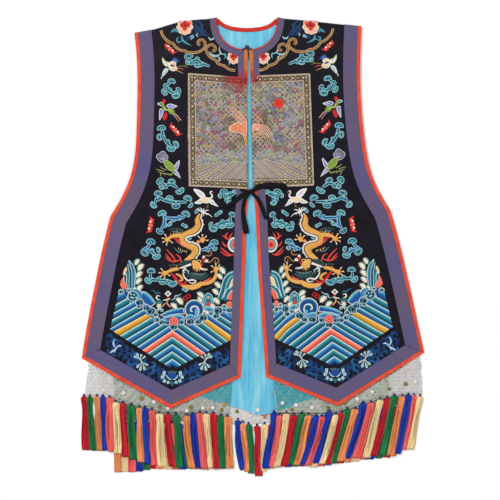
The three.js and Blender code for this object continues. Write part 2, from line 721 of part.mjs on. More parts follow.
// [x, y] along the lower edge of each net, from left to right
const NET_EDGE = {
  left: [[-405.6, -359], [-343, -363], [-293, -378], [-223, -394], [-127, -397], [-56, -407]],
  right: [[55.4, -397], [118, -397], [185, -397], [223, -390], [305, -364], [408, -354.5]],
  back: [[-336, -417], [-199, -419], [-7, -428], [113, -414], [233, -395], [365, -378.5]],
};

const BEAD = { radius: 4.2, high: 3.1, sunk: 0.8, aboveEdge: 13, scatter: 5 };
// Beads threaded into each net near its edge: how many, and the x of the first and the last.
const BEADS = { left: [12, -352, -68], right: [12, 62, 388], back: [4, -30, 36] };

// A net from a hem with its tip above it down to its own lower edge, with its beads.
function buildNet(side, [start, tip, end], height) {
  const rows = 2;
  const half = 9;
  const tops = [...spaced([start, tip], half), ...spaced([tip, end], half).slice(1)];
  const edge = NET_EDGE[side].map(vec2);
  const [first, last] = [edge[0].x, edge.at(-1).x];
  const knots = Array.from({ length: rows + 1 }, (_, r) => tops.map((top) => {
    const lowX = mix(first, last, (top.x - start.x) / (end.x - start.x));
    const { x, y } = top.clone().lerp(new THREE.Vector2(lowX, heightOf(edge, lowX)), r / rows);
    return new Knot(x, y, height(x, y));
  }));
  const [count, from, to] = BEADS[side];
  const beads = Array.from({ length: count }, (_, i) => {
    const x = mix(from, to, i / (count - 1));
    const y = heightOf(edge, x) + BEAD.aboveEdge + BEAD.scatter * Math.sin(i * 2.1);
    return { x, y, room: heightOf([start, tip, end], x) - y };
  }).filter(({ room }) => room > BEAD.radius + SEAM)
    .map(({ x, y }) => solid(bead(x, y, height(x, y) + NET_WALL - BEAD.sunk)));
  add(`${side}_net`, "net", joined([solid(wall(quads(knots), at(0), at(NET_WALL))), ...beads]));
}

function bead(x, y, z) {
  const ring = (radius, height) => Array.from({ length: 6 }, (_, i) => new THREE.Vector3(
    x + radius * Math.cos((i * Math.PI) / 3),
    y + radius * Math.sin((i * Math.PI) / 3),
    height,
  ));
  return loft([ring(BEAD.radius, z), ring(0.6 * BEAD.radius, z + BEAD.high)]);
}

function buildNets() {
  const onHem = (side, x) => {
    const sections = side === "left" ? LEFT_SECTIONS : RIGHT_SECTIONS;
    const [openX, openY, sideX, sideY] = sections.at(-1);
    return new THREE.Vector2(x, heightOf([[openX, openY], HEM_TIP[side], [sideX, sideY]].map(vec2), x));
  };
  const ends = { left: [-394.6, -48.2], right: [49.2, 402.7] };
  for (const side of ["left", "right"])
    buildNet(side, [
      onHem(side, ends[side][0]), vec2(HEM_TIP[side]), onHem(side, ends[side][1]),
    ], netHeight);
  buildNet("back", BACK_HEM, at(0));
}

// ---- Tassels: a cord along each net's edge with a knotted head and locks for each tassel ----
const TASSEL = {
  drop: 1.2, // from the net's edge to the cord
  cordWidth: 2.4,
  cordHigh: 1.4,
  headLong: 15,
  headWide: 9.5,
  headHigh: 3.2,
  long: 120,
  lockWidth: 4.5,
  lockHigh: 3.2,
  lockPitch: 5.1,
  soleWidth: 10.5, // of a tassel in one lock
  steps: 2,
};
// Stations down a head: [share of its length, width, height]
const HEAD = [[0, 2.6, 1.8], [0.35, 4.5, 2.4], [0.5, 8.6, 3], [1, TASSEL.headWide, TASSEL.headHigh]];
const HEAD_SECTION = [[0.5, 0], [0.3, 1], [-0.3, 1], [-0.5, 0]];
const LOWER_ROW_Z = 0.3;
const UPPER_ROW_Z = 0.5 + TASSEL.headHigh + SEAM; // the fronts' tassels lie on the back's
const BEYOND_BACK_ROW = [-353, 377]; // past these the fronts' tassels lie on the table
// How far a tassel's end lies to the right of its head: [x of the head, lean]
const LEANS = [[-410, 7], [-300, 4], [-120, 9], [-60, 2], [-20, 14], [10, 8], [40, -14], [110, -30],
  [260, -26], [340, -30], [410, -27]];
const ROWS = {
  left: { from: -405, to: -61, count: 22, locks: () => 3 },
  right: { from: 52, to: 404, count: 22, locks: () => 3 },
  // The back's tassels are hidden but for those between the fronts.
  back: { from: -330, to: 359, count: 34, locks: (x) => (x > -55 && x < 45 ? 3 : 1) },
};

function buildTassels(side) {
  const row = ROWS[side];
  const edge = NET_EDGE[side].map(vec2);
  const isBack = side === "back";
  const isLow = (x) => isBack || x < BEYOND_BACK_ROW[0] || x > BEYOND_BACK_ROW[1];
  const cordZ = (x) => (isBack ? 0.1 : netHeight(x, heightOf(edge, x)) + 0.1);
  const cordY = (x) => heightOf(edge, x) - TASSEL.drop - TASSEL.cordWidth / 2;
  const heads = Array.from({ length: row.count }, (_, i) => mix(row.from, row.to, i / (row.count - 1)));
  const cord = [row.from - 3, ...heads.slice(1, -1), row.to + 3].map((x) => (
    { x, y: cordY(x), z: cordZ(x), width: TASSEL.cordWidth, height: TASSEL.cordHigh }));
  const pieces = [solid(ribbon(cord, HEAD_SECTION))];
  for (const [i, x] of heads.entries()) {
    const top = cordY(x) + 0.3;
    const lift = isLow(x) ? LOWER_ROW_Z : UPPER_ROW_Z;
    const head = HEAD.map(([share, width, height]) => ({
      x, y: top - share * TASSEL.headLong, z: mix(cordZ(x), lift, smooth(share, 0, 0.5)), width, height,
    }));
    pieces.push(solid(ribbon(head, HEAD_SECTION)));
    const locks = row.locks(x);
    const lean = heightOf(LEANS.map(vec2), x);
    const root = 0.75 * TASSEL.headLong;
    const long = TASSEL.long + 4 * Math.sin(i * 2.3) - root;
    const wide = locks === 1 ? TASSEL.soleWidth : TASSEL.lockWidth;
    for (let k = 0; k < locks; k++) {
      const aside = (k - (locks - 1) / 2) * TASSEL.lockPitch;
      const lock = Array.from({ length: TASSEL.steps + 1 }, (_, step) => {
        const t = step / TASSEL.steps;
        return {
          x: x + aside * (step ? 1 : 0.55) + lean * t ** 1.3,
          y: top - root - t * long,
          z: lift + 0.2,
          width: step ? wide : 0.6 * wide,
          height: step ? TASSEL.lockHigh : 0.8 * TASSEL.lockHigh,
        };
      });
      pieces.push(solid(ribbon(lock, LOCK_SECTION)));
    }
  }
  add(`${side}_tassels`, "tassel", joined(pieces));
}

for (const [side, sections, shoulder] of [
  ["left", LEFT_SECTIONS, LEFT_SHOULDER], ["right", RIGHT_SECTIONS, RIGHT_SHOULDER]]) {
  const front = buildFront(side, sections, shoulder);
  buildNeckTrim(side, front);
  buildBadge(side);
  buildCollarTrim(side);
}
buildBack();
buildLining();
buildTie();
buildButton();
buildNets();
for (const side of ["left", "right", "back"]) buildTassels(side);

// The part's origin is the centre of its footprint, on the table.
const box = new THREE.Box3().setFromObject(garment);
garment.position.set(-(box.min.x + box.max.x) / 2, -(box.min.y + box.max.y) / 2, -box.min.z);

export default garment;
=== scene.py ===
# A xiapei court vest laid flat: silk, embroidery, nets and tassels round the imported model.
# Blender 4.5, metres. +Y runs towards the collar and +Z up. Left and right are the viewer's.
import math
import random

import bmesh
import bpy
import numpy as np
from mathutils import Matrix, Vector
from mathutils.bvhtree import BVHTree
from mathutils.geometry import tessellate_polygon


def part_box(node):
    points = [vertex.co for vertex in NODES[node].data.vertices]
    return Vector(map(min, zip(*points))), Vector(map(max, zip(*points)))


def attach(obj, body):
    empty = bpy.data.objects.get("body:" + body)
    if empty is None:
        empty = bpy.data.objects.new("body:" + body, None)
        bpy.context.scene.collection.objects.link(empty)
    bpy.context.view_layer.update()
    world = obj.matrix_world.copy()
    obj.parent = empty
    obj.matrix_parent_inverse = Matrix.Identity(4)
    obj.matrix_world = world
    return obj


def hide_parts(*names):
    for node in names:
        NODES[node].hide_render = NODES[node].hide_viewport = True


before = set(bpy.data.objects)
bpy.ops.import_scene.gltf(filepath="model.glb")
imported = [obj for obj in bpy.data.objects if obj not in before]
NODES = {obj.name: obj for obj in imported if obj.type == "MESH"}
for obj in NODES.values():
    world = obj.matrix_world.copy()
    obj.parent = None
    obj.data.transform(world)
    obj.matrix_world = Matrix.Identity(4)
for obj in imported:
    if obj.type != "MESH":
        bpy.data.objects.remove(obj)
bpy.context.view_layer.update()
SIDES = ("left", "right")
MM = 0.001

# The embroiderer's grid: motifs are laid out from the garment's centre in squares of this size.
GRID = 2.4 * MM

# ---- Camera, light and floor ----
VIEW_WIDTH = 500 * GRID
VIEW_CENTRE = (-3 * GRID, -3.25 * GRID)
CAMERA_HEIGHT = 2.83
SENSOR = 36.0
SKY = 0.75  # strength of the even light from all round
# [name, place, size, power]
LIGHTS = [("key", (-2.6, 2.3, 3.5), 1.6, 142), ("fill", (1.8, -1.4, 2.8), 2.0, 22)]
FLOOR_HALF = 4.0
FLOOR_TINT = (255, 255, 255)


def build_camera():
    camera = bpy.data.cameras.new("camera")
    camera.sensor_width = SENSOR
    camera.lens = SENSOR * CAMERA_HEIGHT / VIEW_WIDTH
    camera_object = bpy.data.objects.new("camera", camera)
    camera_object.location = (*VIEW_CENTRE, CAMERA_HEIGHT)
    bpy.context.scene.collection.objects.link(camera_object)
    bpy.context.scene.camera = camera_object


def build_light(name, location, size, power):
    """A soft round light aimed at the garment's middle."""
    light = bpy.data.lights.new(name, "AREA")
    light.shape = "DISK"
    light.size = size
    light.energy = power
    light_object = bpy.data.objects.new(name, light)
    light_object.location = location
    light_object.rotation_euler = (-Vector(location)).to_track_quat("-Z", "Y").to_euler()
    bpy.context.scene.collection.objects.link(light_object)


def build_stage():
    world = bpy.data.worlds.new("world")
    world.use_nodes = True
    background = world.node_tree.nodes["Background"]
    background.inputs["Color"].default_value = WHITE
    background.inputs["Strength"].default_value = SKY
    bpy.context.scene.world = world
    bpy.context.scene.view_settings.view_transform = "Standard"
    for row in LIGHTS:
        build_light(*row)
    corners = [(-FLOOR_HALF, -FLOOR_HALF), (FLOOR_HALF, -FLOOR_HALF), (FLOOR_HALF, FLOOR_HALF),
               (-FLOOR_HALF, FLOOR_HALF)]
    floor = mesh_object("floor", [(x, y, 0.0) for x, y in corners], [(0, 1, 2, 3)])
    floor.data.materials.append(plain("floor", FLOOR_TINT, rough=0.9))


# ---- Materials ----
# The light is so strong that white paper comes back pure white, so each colour is laid in darker.
LAID_IN = 0.84
FULL_TURN = 6.283


def linear(colour):
    """An sRGB colour of 0 to 255 as the linear colour that a shader takes."""
    shares = [c / 255 for c in colour]
    tones = [c / 12.92 if c <= 0.04045 else ((c + 0.055) / 1.055) ** 2.4 for c in shares]
    return tuple(LAID_IN * tone for tone in tones) + (1.0,)


class Shader:
    """A material's node tree with its Principled shader, and short ways to add nodes to it."""

    def __init__(self, name, rough=0.6, specular=0.25):
        self.material = bpy.data.materials.new(name)
        self.material.use_nodes = True
        self.tree = self.material.node_tree
        self.base = self.tree.nodes["Principled BSDF"]
        self.base.inputs["Roughness"].default_value = rough
        self.base.inputs["Specular IOR Level"].default_value = specular
        self.place = self.node("ShaderNodeTexCoord").outputs["Object"]

    def node(self, kind, links=(), **values):
        made = self.tree.nodes.new(kind)
        for key, value in values.items():
            setattr(made, key, value)
        for socket, source in dict(links).items():
            self.feed(made.inputs[socket], source)
        return made

    def feed(self, socket, source):
        if hasattr(source, "is_output"):
            self.tree.links.new(source, socket)
        else:
            socket.default_value = source

    def noise(self, scale, detail=3.0, place=None):
        return self.node("ShaderNodeTexNoise", {
            "Vector": place or self.place, "Scale": scale, "Detail": detail}).outputs["Fac"]

    def wave(self, pitch, direction, distortion=0.0, place=None):
        """Ridges a pitch apart, in metres."""
        return self.node("ShaderNodeTexWave", {
            "Vector": place or self.place, "Scale": 2 / (pitch * FULL_TURN), "Distortion": distortion,
        }, bands_direction=direction).outputs["Fac"]

    def math(self, operation, a, b=0.0):
        return self.node("ShaderNodeMath", {0: a, 1: b}, operation=operation).outputs[0]

    def ramp(self, factor, low, high):
        """0 to 1 as the factor goes from low to high."""
        return self.node("ShaderNodeMapRange", {
            "Value": factor, "From Min": low, "From Max": high}).outputs["Result"]

    def mix(self, factor, a, b):
        made = self.node("ShaderNodeMix", data_type="RGBA")
        for socket, source in ((0, factor), (6, a), (7, b)):
            self.feed(made.inputs[socket], source)
        return made.outputs[2]

    def near(self, x, y, reach, soft):
        """1 within a reach of a point of the grid, fading to 0 over a soft and uneven edge."""
        away = self.node("ShaderNodeVectorMath", {
            0: self.place, 1: (x * GRID, y * GRID, 0.0)}, operation="DISTANCE").outputs["Value"]
        uneven = self.math("ADD", away, self.math("MULTIPLY", self.noise(70.0), soft * GRID))
        return self.math("SUBTRACT", 1.0, self.ramp(uneven, reach * GRID, (reach + soft) * GRID))

    def colour(self, source):
        self.tree.links.new(source, self.base.inputs["Base Color"])

    def bump(self, height, distance, strength=1.0):
        bump = self.node("ShaderNodeBump", {
            "Height": height, "Distance": distance, "Strength": strength})
        self.tree.links.new(bump.outputs["Normal"], self.base.inputs["Normal"])


BLACK = (0.0, 0.0, 0.0, 1.0)
WHITE = (1.0, 1.0, 1.0, 1.0)
# Red dye has run from the tie at the neck: [x, y, reach, softness] on the grid
STAINS = [(-13, 166, 7, 9), (-6, 168, 6, 8), (-3, 172, 5, 6), (-20, 168, 4, 8)]
DYE = (172, 22, 40)


def stained(shader, colour, share):
    """A colour with the red stains over it."""
    for x, y, reach, soft in STAINS:
        spot = shader.math("MULTIPLY", shader.near(x, y, reach, soft), share)
        colour = shader.mix(spot, colour, linear(DYE))
    return colour


def plain(name, colour, rough):
    """One colour, very slightly clouded."""
    shader = Shader(name, rough=rough)
    shade = tuple(0.96 * c for c in linear(colour)[:3]) + (1.0,)
    shader.colour(shader.mix(shader.noise(6.0), shade, linear(colour)))
    return shader.material


def woven(name, light, dark, thread=0.5, mottle=45.0, rough=0.6, specular=0.12, relief=0.12,
          stain=0.0, painted_crease_streaks=None):
    """Cloth of two crossing sets of threads, with its colour clouded between two shades."""
    shader = Shader(name, rough=rough, specular=specular)
    clouds = shader.ramp(shader.noise(mottle, 4.0), 0.3, 0.7)
    colour = shader.mix(clouds, linear(dark), linear(light))
    if painted_crease_streaks:
        # Long uneven pale and dark streaks run down the cloth: painted light and shade of its small creases.
        pale, deep = painted_crease_streaks
        drawn = shader.node("ShaderNodeMapping", {
            "Vector": shader.place, "Scale": (1.0, 0.09, 1.0)}).outputs["Vector"]
        runs = shader.noise(85.0, 5.0, drawn)
        colour = shader.mix(shader.ramp(runs, 0.52, 0.72), colour, linear(pale))
        colour = shader.mix(shader.ramp(runs, 0.46, 0.3), colour, linear(deep))
    pitch = thread * MM
    weave = shader.math("MULTIPLY", shader.wave(pitch, "X", 0.4), shader.wave(pitch, "Y", 0.4))
    # Where the crossing threads dip, the colour goes darker: painted shade between the threads.
    colour = shader.mix(weave, shader.mix(0.14, colour, BLACK), colour)
    shader.colour(stained(shader, colour, stain) if stain else colour)
    shader.bump(weave, relief * MM, 0.6)
    return shader.material


def figured(name, ground, figure, deep):
    """Figured ribbon: a twill ground with small scrolls in a second, shinier weave."""
    shader = Shader(name, rough=0.55, specular=0.2)
    bend = shader.noise(60.0, 2.0)
    moved = shader.node("ShaderNodeMix", {0: 0.012, 4: shader.place, 5: bend}, data_type="VECTOR")
    flowers = shader.node("ShaderNodeTexVoronoi", {
        "Vector": moved.outputs[1], "Scale": 120.0}).outputs["Distance"]
    rings = shader.math("SINE", shader.math("MULTIPLY", flowers, 22.0))
    figures = shader.math("MULTIPLY", shader.ramp(rings, -0.1, 0.6), 0.45)
    clouds = shader.ramp(shader.noise(9.0, 5.0), 0.4, 0.66)
    colour = shader.mix(clouds, linear(ground), linear(deep))
    colour = shader.mix(figures, colour, linear(figure))
    twill = shader.wave(2.6 * MM, "DIAGONAL", 0.6)
    worn = shader.ramp(shader.noise(420.0, 2.0), 0.55, 0.75)
    colour = shader.mix(shader.math("MULTIPLY", worn, 0.22), colour, linear((132, 100, 104)))
    colour = shader.mix(shader.math("MULTIPLY", twill, 0.3), colour, linear((40, 34, 60)))
    shader.colour(stained(shader, colour, 0.55))
    shader.bump(shader.math("ADD", figures, shader.wave(0.7 * MM, "DIAGONAL")), 0.12 * MM, 0.6)
    return shader.material


BROCADE_CELL = 8.4 * MM
BROCADE_SILKS = [(44, 42, 38), (128, 104, 66), (72, 78, 50), (150, 134, 124), (104, 84, 100), (160, 142, 112),
                 (66, 70, 88), (140, 108, 60)]
BROCADE_CORD = (188, 168, 146)


def brocade(name):
    """The badge's ground: crossing gold and pale cords over many small colours of silk."""
    shader = Shader(name, rough=0.7, specular=0.15)
    turned = shader.node("ShaderNodeMapping", {
        "Vector": shader.place, "Rotation": (0.0, 0.0, math.radians(45))}).outputs["Vector"]
    snapped = shader.node("ShaderNodeVectorMath", {
        0: turned, 1: (BROCADE_CELL, BROCADE_CELL, 1.0)}, operation="SNAP")
    chance = shader.node("ShaderNodeTexWhiteNoise", {"Vector": snapped.outputs[0]}).outputs["Value"]
    shaded_pits = shader.noise(520.0, 4.0)
    patches = shader.math("MULTIPLY", shader.noise(150.0, 4.0), 0.75)
    mottled = shader.math("ADD", shader.math("MULTIPLY", chance, 0.35), patches)
    hues = shader.node("ShaderNodeValToRGB", {"Fac": mottled})
    for i, silk in enumerate(BROCADE_SILKS):
        stop = hues.color_ramp.elements.new(0.2 + 0.6 * i / len(BROCADE_SILKS))
        stop.color = linear(silk)
    silks = hues.outputs["Color"]
    # Where the fine bump dips, the silks go darker: painted shade in its small pits.
    colour = shader.mix(shader.ramp(shaded_pits, 0.4, 0.62), shader.mix(0.4, silks, BLACK), silks)
    cords = [shader.ramp(shader.wave(BROCADE_CELL, way, 0.25, turned), 0.8, 0.95) for way in ("X", "Y")]
    lattice = shader.math("MAXIMUM", *cords)
    showing = shader.math("MULTIPLY", lattice, shader.ramp(shader.noise(30.0, 2.0), 0.4, 0.56))
    colour = shader.mix(showing, colour, linear(BROCADE_CORD))
    shader.colour(stained(shader, colour, 0.75))
    shader.bump(shader.math("ADD", lattice, shaded_pits), 0.3 * MM, 0.7)
    return shader.material


def floss(name, rough=0.5, pitch=0.8, relief=0.2, strand_gap_shade=0.3):
    """Silk thread laid side by side along the mesh's Lay, coloured by its Tint."""
    shader = Shader(name, rough=rough, specular=0.06)
    tint = shader.node("ShaderNodeAttribute", attribute_name="Tint").outputs["Color"]
    lay = shader.node("ShaderNodeAttribute", attribute_name="Lay").outputs["Fac"]
    wander = shader.math("MULTIPLY", shader.noise(240.0), 2.2)
    turns = shader.math("ADD", shader.math("MULTIPLY", lay, FULL_TURN / (pitch * MM)), wander)
    strands = shader.ramp(shader.math("SINE", turns), -1.0, 1.0)
    clouds = shader.ramp(shader.noise(160.0, 3.0), 0.25, 0.75)
    # Between the strands the tint goes darker and on their crowns a little lighter: painted shade and painted
    # highlight.
    shade = shader.mix(strand_gap_shade, tint, BLACK)
    lit = shader.mix(0.012, tint, WHITE)
    shader.colour(shader.mix(strands, shader.mix(clouds, shade, tint), lit))
    shader.bump(strands, relief * MM, 0.7)
    return shader.material


MATERIALS = {
    "satin": woven("satin", (25, 20, 34), (15, 12, 21), thread=0.35, rough=0.42, specular=0.1),
    "back_satin": woven("back_satin", (30, 26, 38), (20, 17, 27), thread=0.35, rough=0.48, specular=0.1),
    "band": figured("band", (98, 84, 112), (118, 102, 124), (82, 80, 134)),
    "piping": woven("piping", (244, 92, 60), (226, 68, 48), rough=0.5, relief=0.2),
    "placket": woven("placket", (222, 130, 62), (196, 104, 56), rough=0.65, relief=0.2, stain=0.8),
    "lining": woven("lining", (124, 206, 232), (98, 192, 224), thread=0.45, mottle=14.0, rough=0.7,
                    painted_crease_streaks=((156, 222, 238), (72, 172, 208))),
    "binding": woven("binding", (224, 58, 44), (198, 40, 36), rough=0.5, relief=0.2),
    "badge": brocade("badge"),
    "ribbon": woven("ribbon", (16, 14, 20), (6, 6, 9), thread=0.6, rough=0.5, specular=0.1, relief=0.3),
    "knot": floss("knot", pitch=0.9),
    "net": floss("net", pitch=0.9, strand_gap_shade=0.2),
    "gold_cord": floss("gold_cord", pitch=1.3, relief=0.35, strand_gap_shade=0.34),
    "silk": floss("silk", pitch=0.9),
    "tassel": floss("tassel", rough=0.45, pitch=0.9, strand_gap_shade=0.22),
}


def finish_piece(piece, material, slot, *nodes):
    """Gives a piece its material, hides the nodes that it replaces, and rides it on the body. The slot is not
    used.
    """
    piece.data.materials.clear()
    piece.data.materials.append(MATERIALS[material])
    if nodes:
        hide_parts(*nodes)
    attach(piece, "root")
    return piece


def mesh_object(name, vertices, faces):
    """A smooth mesh in the scene."""
    mesh = bpy.data.meshes.new(name)
    mesh.from_pydata([tuple(v) for v in vertices], [], faces)
    mesh.validate()
    mesh.polygons.foreach_set("use_smooth", [True] * len(mesh.polygons))
    piece = bpy.data.objects.new(name, mesh)
    bpy.context.scene.collection.objects.link(piece)
    return piece


# ---- Folds: soft ridges, each [x, y, angle, half length, half width, height] ----
# x and y are on the grid, the angle in degrees, and the other sizes in millimetres.
FRONT_FOLDS = [
    (-150, 22, 62, 95, 16, 3.0),
    (-128, 10, 75, 110, 20, 2.0),
    (-60, 18, 80, 120, 18, 1.8),
    (-95, -70, 80, 130, 26, 2.2),
    (-130, -105, 74, 90, 18, 1.8),
    (-40, -95, 95, 110, 22, 1.6),
    (-100, 120, 88, 120, 22, 1.4),
    (-78, 195, 30, 60, 14, 1.6),
    (148, 20, 118, 95, 16, 3.0),
    (126, 6, 105, 110, 20, 2.0),
    (58, 16, 100, 120, 18, 1.8),
    (92, -72, 100, 130, 26, 2.2),
    (132, -100, 106, 90, 18, 1.8),
    (38, -92, 85, 110, 22, 1.6),
    (92, 118, 92, 120, 22, 1.4),
    (74, 196, 150, 60, 14, 1.6),
]
LINING_FOLDS = [
    (-1.5, -15, 91, 300, 4.5, 2.2),
    (1.5, -40, 88, 260, 5.5, 2.6),
    (5.0, -95, 88.5, 220, 6.0, 3.0),
    (-4.5, -85, 94, 180, 5.0, 2.4),
    (-1.0, -110, 90, 160, 7.0, 2.6),
    (10.0, -140, 84, 70, 6.0, 2.0),
    (-10.0, -140, 97, 70, 6.0, 2.0),
    (-6.0, 30, 91, 120, 3.5, 1.6),
    (2.0, 120, 90, 90, 3.0, 1.2),
    (-14.0, -120, 96, 120, 4.0, 2.0),
    (15.0, -118, 86, 120, 4.5, 2.2),
    (0.0, 212, 4, 60, 5.0, 1.0),
    (-14.0, 209, 160, 34, 4.0, 0.9),
    (10.0, 207, 28, 34, 4.0, 0.9),
    (-8.0, 203, 100, 22, 3.5, 0.8),
    (4.0, 205, 74, 22, 3.5, 0.8),
]


def folded(folds):
    """The height that some folds add at a place, as a function of x and y in metres."""
    table = np.array([
        (x * GRID, y * GRID, math.radians(turn), long * MM, wide * MM, high * MM)
        for x, y, turn, long, wide, high in folds])

    def rise(x, y):
        dx, dy = x - table[:, 0], y - table[:, 1]
        along = dx * np.cos(table[:, 2]) + dy * np.sin(table[:, 2])
        aside = dy * np.cos(table[:, 2]) - dx * np.sin(table[:, 2])
        # Each ridge wanders a little from its straight line.
        aside = aside + 0.25 * table[:, 4] * np.sin(along / (0.45 * table[:, 3]) + table[:, 0] * 90)
        return float(np.sum(table[:, 5] * np.exp(-((along / table[:, 3]) ** 2) - (aside / table[:, 4]) ** 2)))

    return rise


# The back's neckline, in millimetres
NECK_X, NECK_Y = -14.3, 546.9
NECK_HALF, NECK_DROP, NECK_POWER = 72.3, 22.7, 2.25
NECK_TUCK = 3.5  # how far the back's satin is turned in under the binding
NECK_DEPTH = 30.0
# How much straighter the neckline runs to the shoulders: [distance from its side, rise]
NECK_PULL = [(0, 0), (3.0, 8.2), (6, 8.4), (11, 6.4), (22, 3.2), (40, 1.2), (72, 0)]


def pull_neck(piece, tuck=0.0):
    """Pulls the cloth along the back's neckline up towards the shoulders."""
    for vertex in piece.data.vertices:
        x, y = vertex.co.x / MM, vertex.co.y / MM
        share = min(abs(x - NECK_X) / NECK_HALF, 1)
        line = NECK_Y - NECK_DROP * (1 - share ** NECK_POWER) ** (1 / NECK_POWER)
        if share < 1 and y > line - NECK_DEPTH:
            weight = min(1 - (line - y) / NECK_DEPTH, 1)
            y = min(y, line - tuck) + weight * between(NECK_PULL, NECK_HALF * (1 - share))
            vertex.co.y = min(y, NECK_Y) * MM
    piece.data.update()


front_rise = folded(FRONT_FOLDS)
lining_rise = folded(LINING_FOLDS)


# ---- Cloth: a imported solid, subdivided to a smooth thin shell and folded ----
SHARP = math.radians(38)
SHARP_CORNER = math.radians(13)
UPRIGHT = 0.2  # the largest upward part of a side wall's normal


def mark_creases(form):
    """Keeps a solid's rims and the corners of its outline sharp when it is made finer."""
    layers = form.edges.layers.float
    crease = layers.get("crease_edge") or layers.new("crease_edge")
    for edge in form.edges:
        if len(edge.link_faces) == 2:
            turn = edge.calc_face_angle()
            upright = all(abs(face.normal.z) < UPRIGHT for face in edge.link_faces)
            if turn > SHARP or (upright and turn > SHARP_CORNER):
                edge[crease] = 1.0


def finer(mesh, levels):
    """A mesh made finer by subdivision, as a new object in the scene."""
    piece = bpy.data.objects.new(mesh.name, mesh)
    bpy.context.scene.collection.objects.link(piece)
    subdivision = piece.modifiers.new("finer", "SUBSURF")
    subdivision.levels = levels
    subdivision.render_levels = levels
    depsgraph = bpy.context.evaluated_depsgraph_get()
    piece.data = bpy.data.meshes.new_from_object(piece.evaluated_get(depsgraph))
    piece.modifiers.clear()
    piece.data.name = mesh.name
    return piece


def cloth(node, material, levels=2, rise=front_rise):
    """Replaces a node by a finer shell on its form, raised by its folds."""
    form = bmesh.new()
    form.from_mesh(NODES[node].data)
    bmesh.ops.remove_doubles(form, verts=form.verts, dist=1e-6)
    bmesh.ops.join_triangles(
        form, faces=form.faces, angle_face_threshold=0.5, angle_shape_threshold=2.2,
        cmp_seam=False, cmp_sharp=False, cmp_uvs=False, cmp_vcols=False, cmp_materials=False)
    mark_creases(form)
    mesh = bpy.data.meshes.new(f"{node}_cloth")
    form.to_mesh(mesh)
    form.free()
    piece = finer(mesh, levels)
    smooth = piece.data
    if rise:
        places = np.empty(len(smooth.vertices) * 3)
        smooth.vertices.foreach_get("co", places)
        for place in places.reshape(-1, 3):
            place[2] += rise(place[0], place[1])
        smooth.vertices.foreach_set("co", places)
    smooth.polygons.foreach_set("use_smooth", [True] * len(smooth.polygons))
    smooth.set_sharp_from_angle(angle=SHARP)
    smooth.update()
    return finish_piece(piece, material, material, node)


class Surface:
    """The top of some pieces of cloth, for what lies on them."""

    def __init__(self, *pieces):
        vertices, faces = [], []
        for piece in pieces:
            start = len(vertices)
            vertices += [v.co.copy() for v in piece.data.vertices]
            faces += [[start + i for i in p.vertices] for p in piece.data.polygons]
        self.tree = BVHTree.FromPolygons(vertices, faces)
        self.level = max(v.z for v in vertices)

    def height(self, x, y, default=0.0):
        hit = self.tree.ray_cast(Vector((x, y, 0.1)), Vector((0, 0, -1)))[0]
        return hit.z if hit else default


# The pieces of each front, and those of the back that lie flat: [node, material]
FRONT_CLOTH = [
    ("side_band", "band"), ("hem_band", "band"), ("opening_band", "band"), ("neck_band", "band"),
    ("placket_band", "band"), ("side_piping", "piping"), ("hem_piping", "piping"),
               ("opening_piping", "piping"),
    ("placket_piping", "placket"), ("neck_piping", "binding"),
]
BACK_CLOTH = [
    ("left_band", "band"), ("left_piping", "piping"), ("hem_band", "band"), ("hem_piping", "piping"),
    ("right_band", "band"), ("right_piping", "piping"),
]


def build_cloth():
    made = {}
    for side in SIDES:
        made[f"{side}_front"] = cloth(f"{side}_front", "satin", levels=3)
        for part, material in FRONT_CLOTH:
            made[f"{side}_{part}"] = cloth(f"{side}_{part}", material)
        made[f"{side}_badge"] = cloth(f"{side}_badge", "badge", levels=3)
    made["back_panel"] = cloth("back_panel", "back_satin", rise=None)
    for part, material in BACK_CLOTH:
        made[f"back_{part}"] = cloth(f"back_{part}", material, rise=None)
    made["back_lining"] = cloth("back_lining", "lining", levels=3, rise=lining_rise)
    made["back_neck_binding"] = cloth("back_neck_binding", "binding", rise=lining_rise)
    pull_neck(made["back_panel"], NECK_TUCK)
    pull_neck(made["back_lining"])
    pull_neck(made["back_neck_binding"])
    return made


# ---- Meshes of many small closed forms ----
def between(table, x):
    """The second column at an x of the first."""
    for (x0, y0), (x1, y1) in zip(table, table[1:]):
        if x <= x1:
            return y0 + (y1 - y0) * max(0.0, (x - x0) / (x1 - x0))
    return table[-1][1]


def shade(colour, share):
    """A colour made lighter, above 1, or darker."""
    if share > 1:
        return tuple(c + (255 - c) * (share - 1) for c in colour)
    return tuple(c * share for c in colour)


def blend(a, b, share):
    """A colour or a point a share of the way from one to another."""
    return tuple(x + (y - x) * share for x, y in zip(a, b))


def curve(points, closed=False, steps=4):
    """A smooth line through points, as Catmull and Rom draw it."""
    count = len(points)
    if steps < 2 or count < 3:
        return list(points)
    spans = count if closed else count - 1
    line = []
    for i in range(spans):
        ends = [(i + k) % count if closed else min(max(i + k, 0), count - 1) for k in (-1, 0, 1, 2)]
        a, b, c, d = (points[k] for k in ends)
        for step in range(steps):
            t = step / steps
            line.append(tuple(
                0.5 * (2 * q + (r - p) * t + (2 * p - 5 * q + 4 * r - s) * t * t
                       + (3 * q - p - 3 * r + s) * t ** 3)
                for p, q, r, s in zip(a, b, c, d)))
    if not closed:
        line.append(tuple(points[-1]))
    return line


def clamped(share):
    return max(0.0, min(1.0, share))


def heading(line, i):
    """The direction of a line at one of its points, seen from above."""
    before, after = line[max(i - 1, 0)], line[min(i + 1, len(line) - 1)]
    along = Vector((after[0] - before[0], after[1] - before[1]))
    return along.normalized() if along.length > 1e-6 else Vector((1, 0))


def circle(x, y, radius, corners, tall=1.0):
    turns = [k * math.pi / (corners // 2) for k in range(corners)]
    return [(x + radius * math.cos(turn), y + tall * radius * math.sin(turn)) for turn in turns]


def centre_of(points):
    return sum(x for x, _ in points) / len(points), sum(y for _, y in points) / len(points)


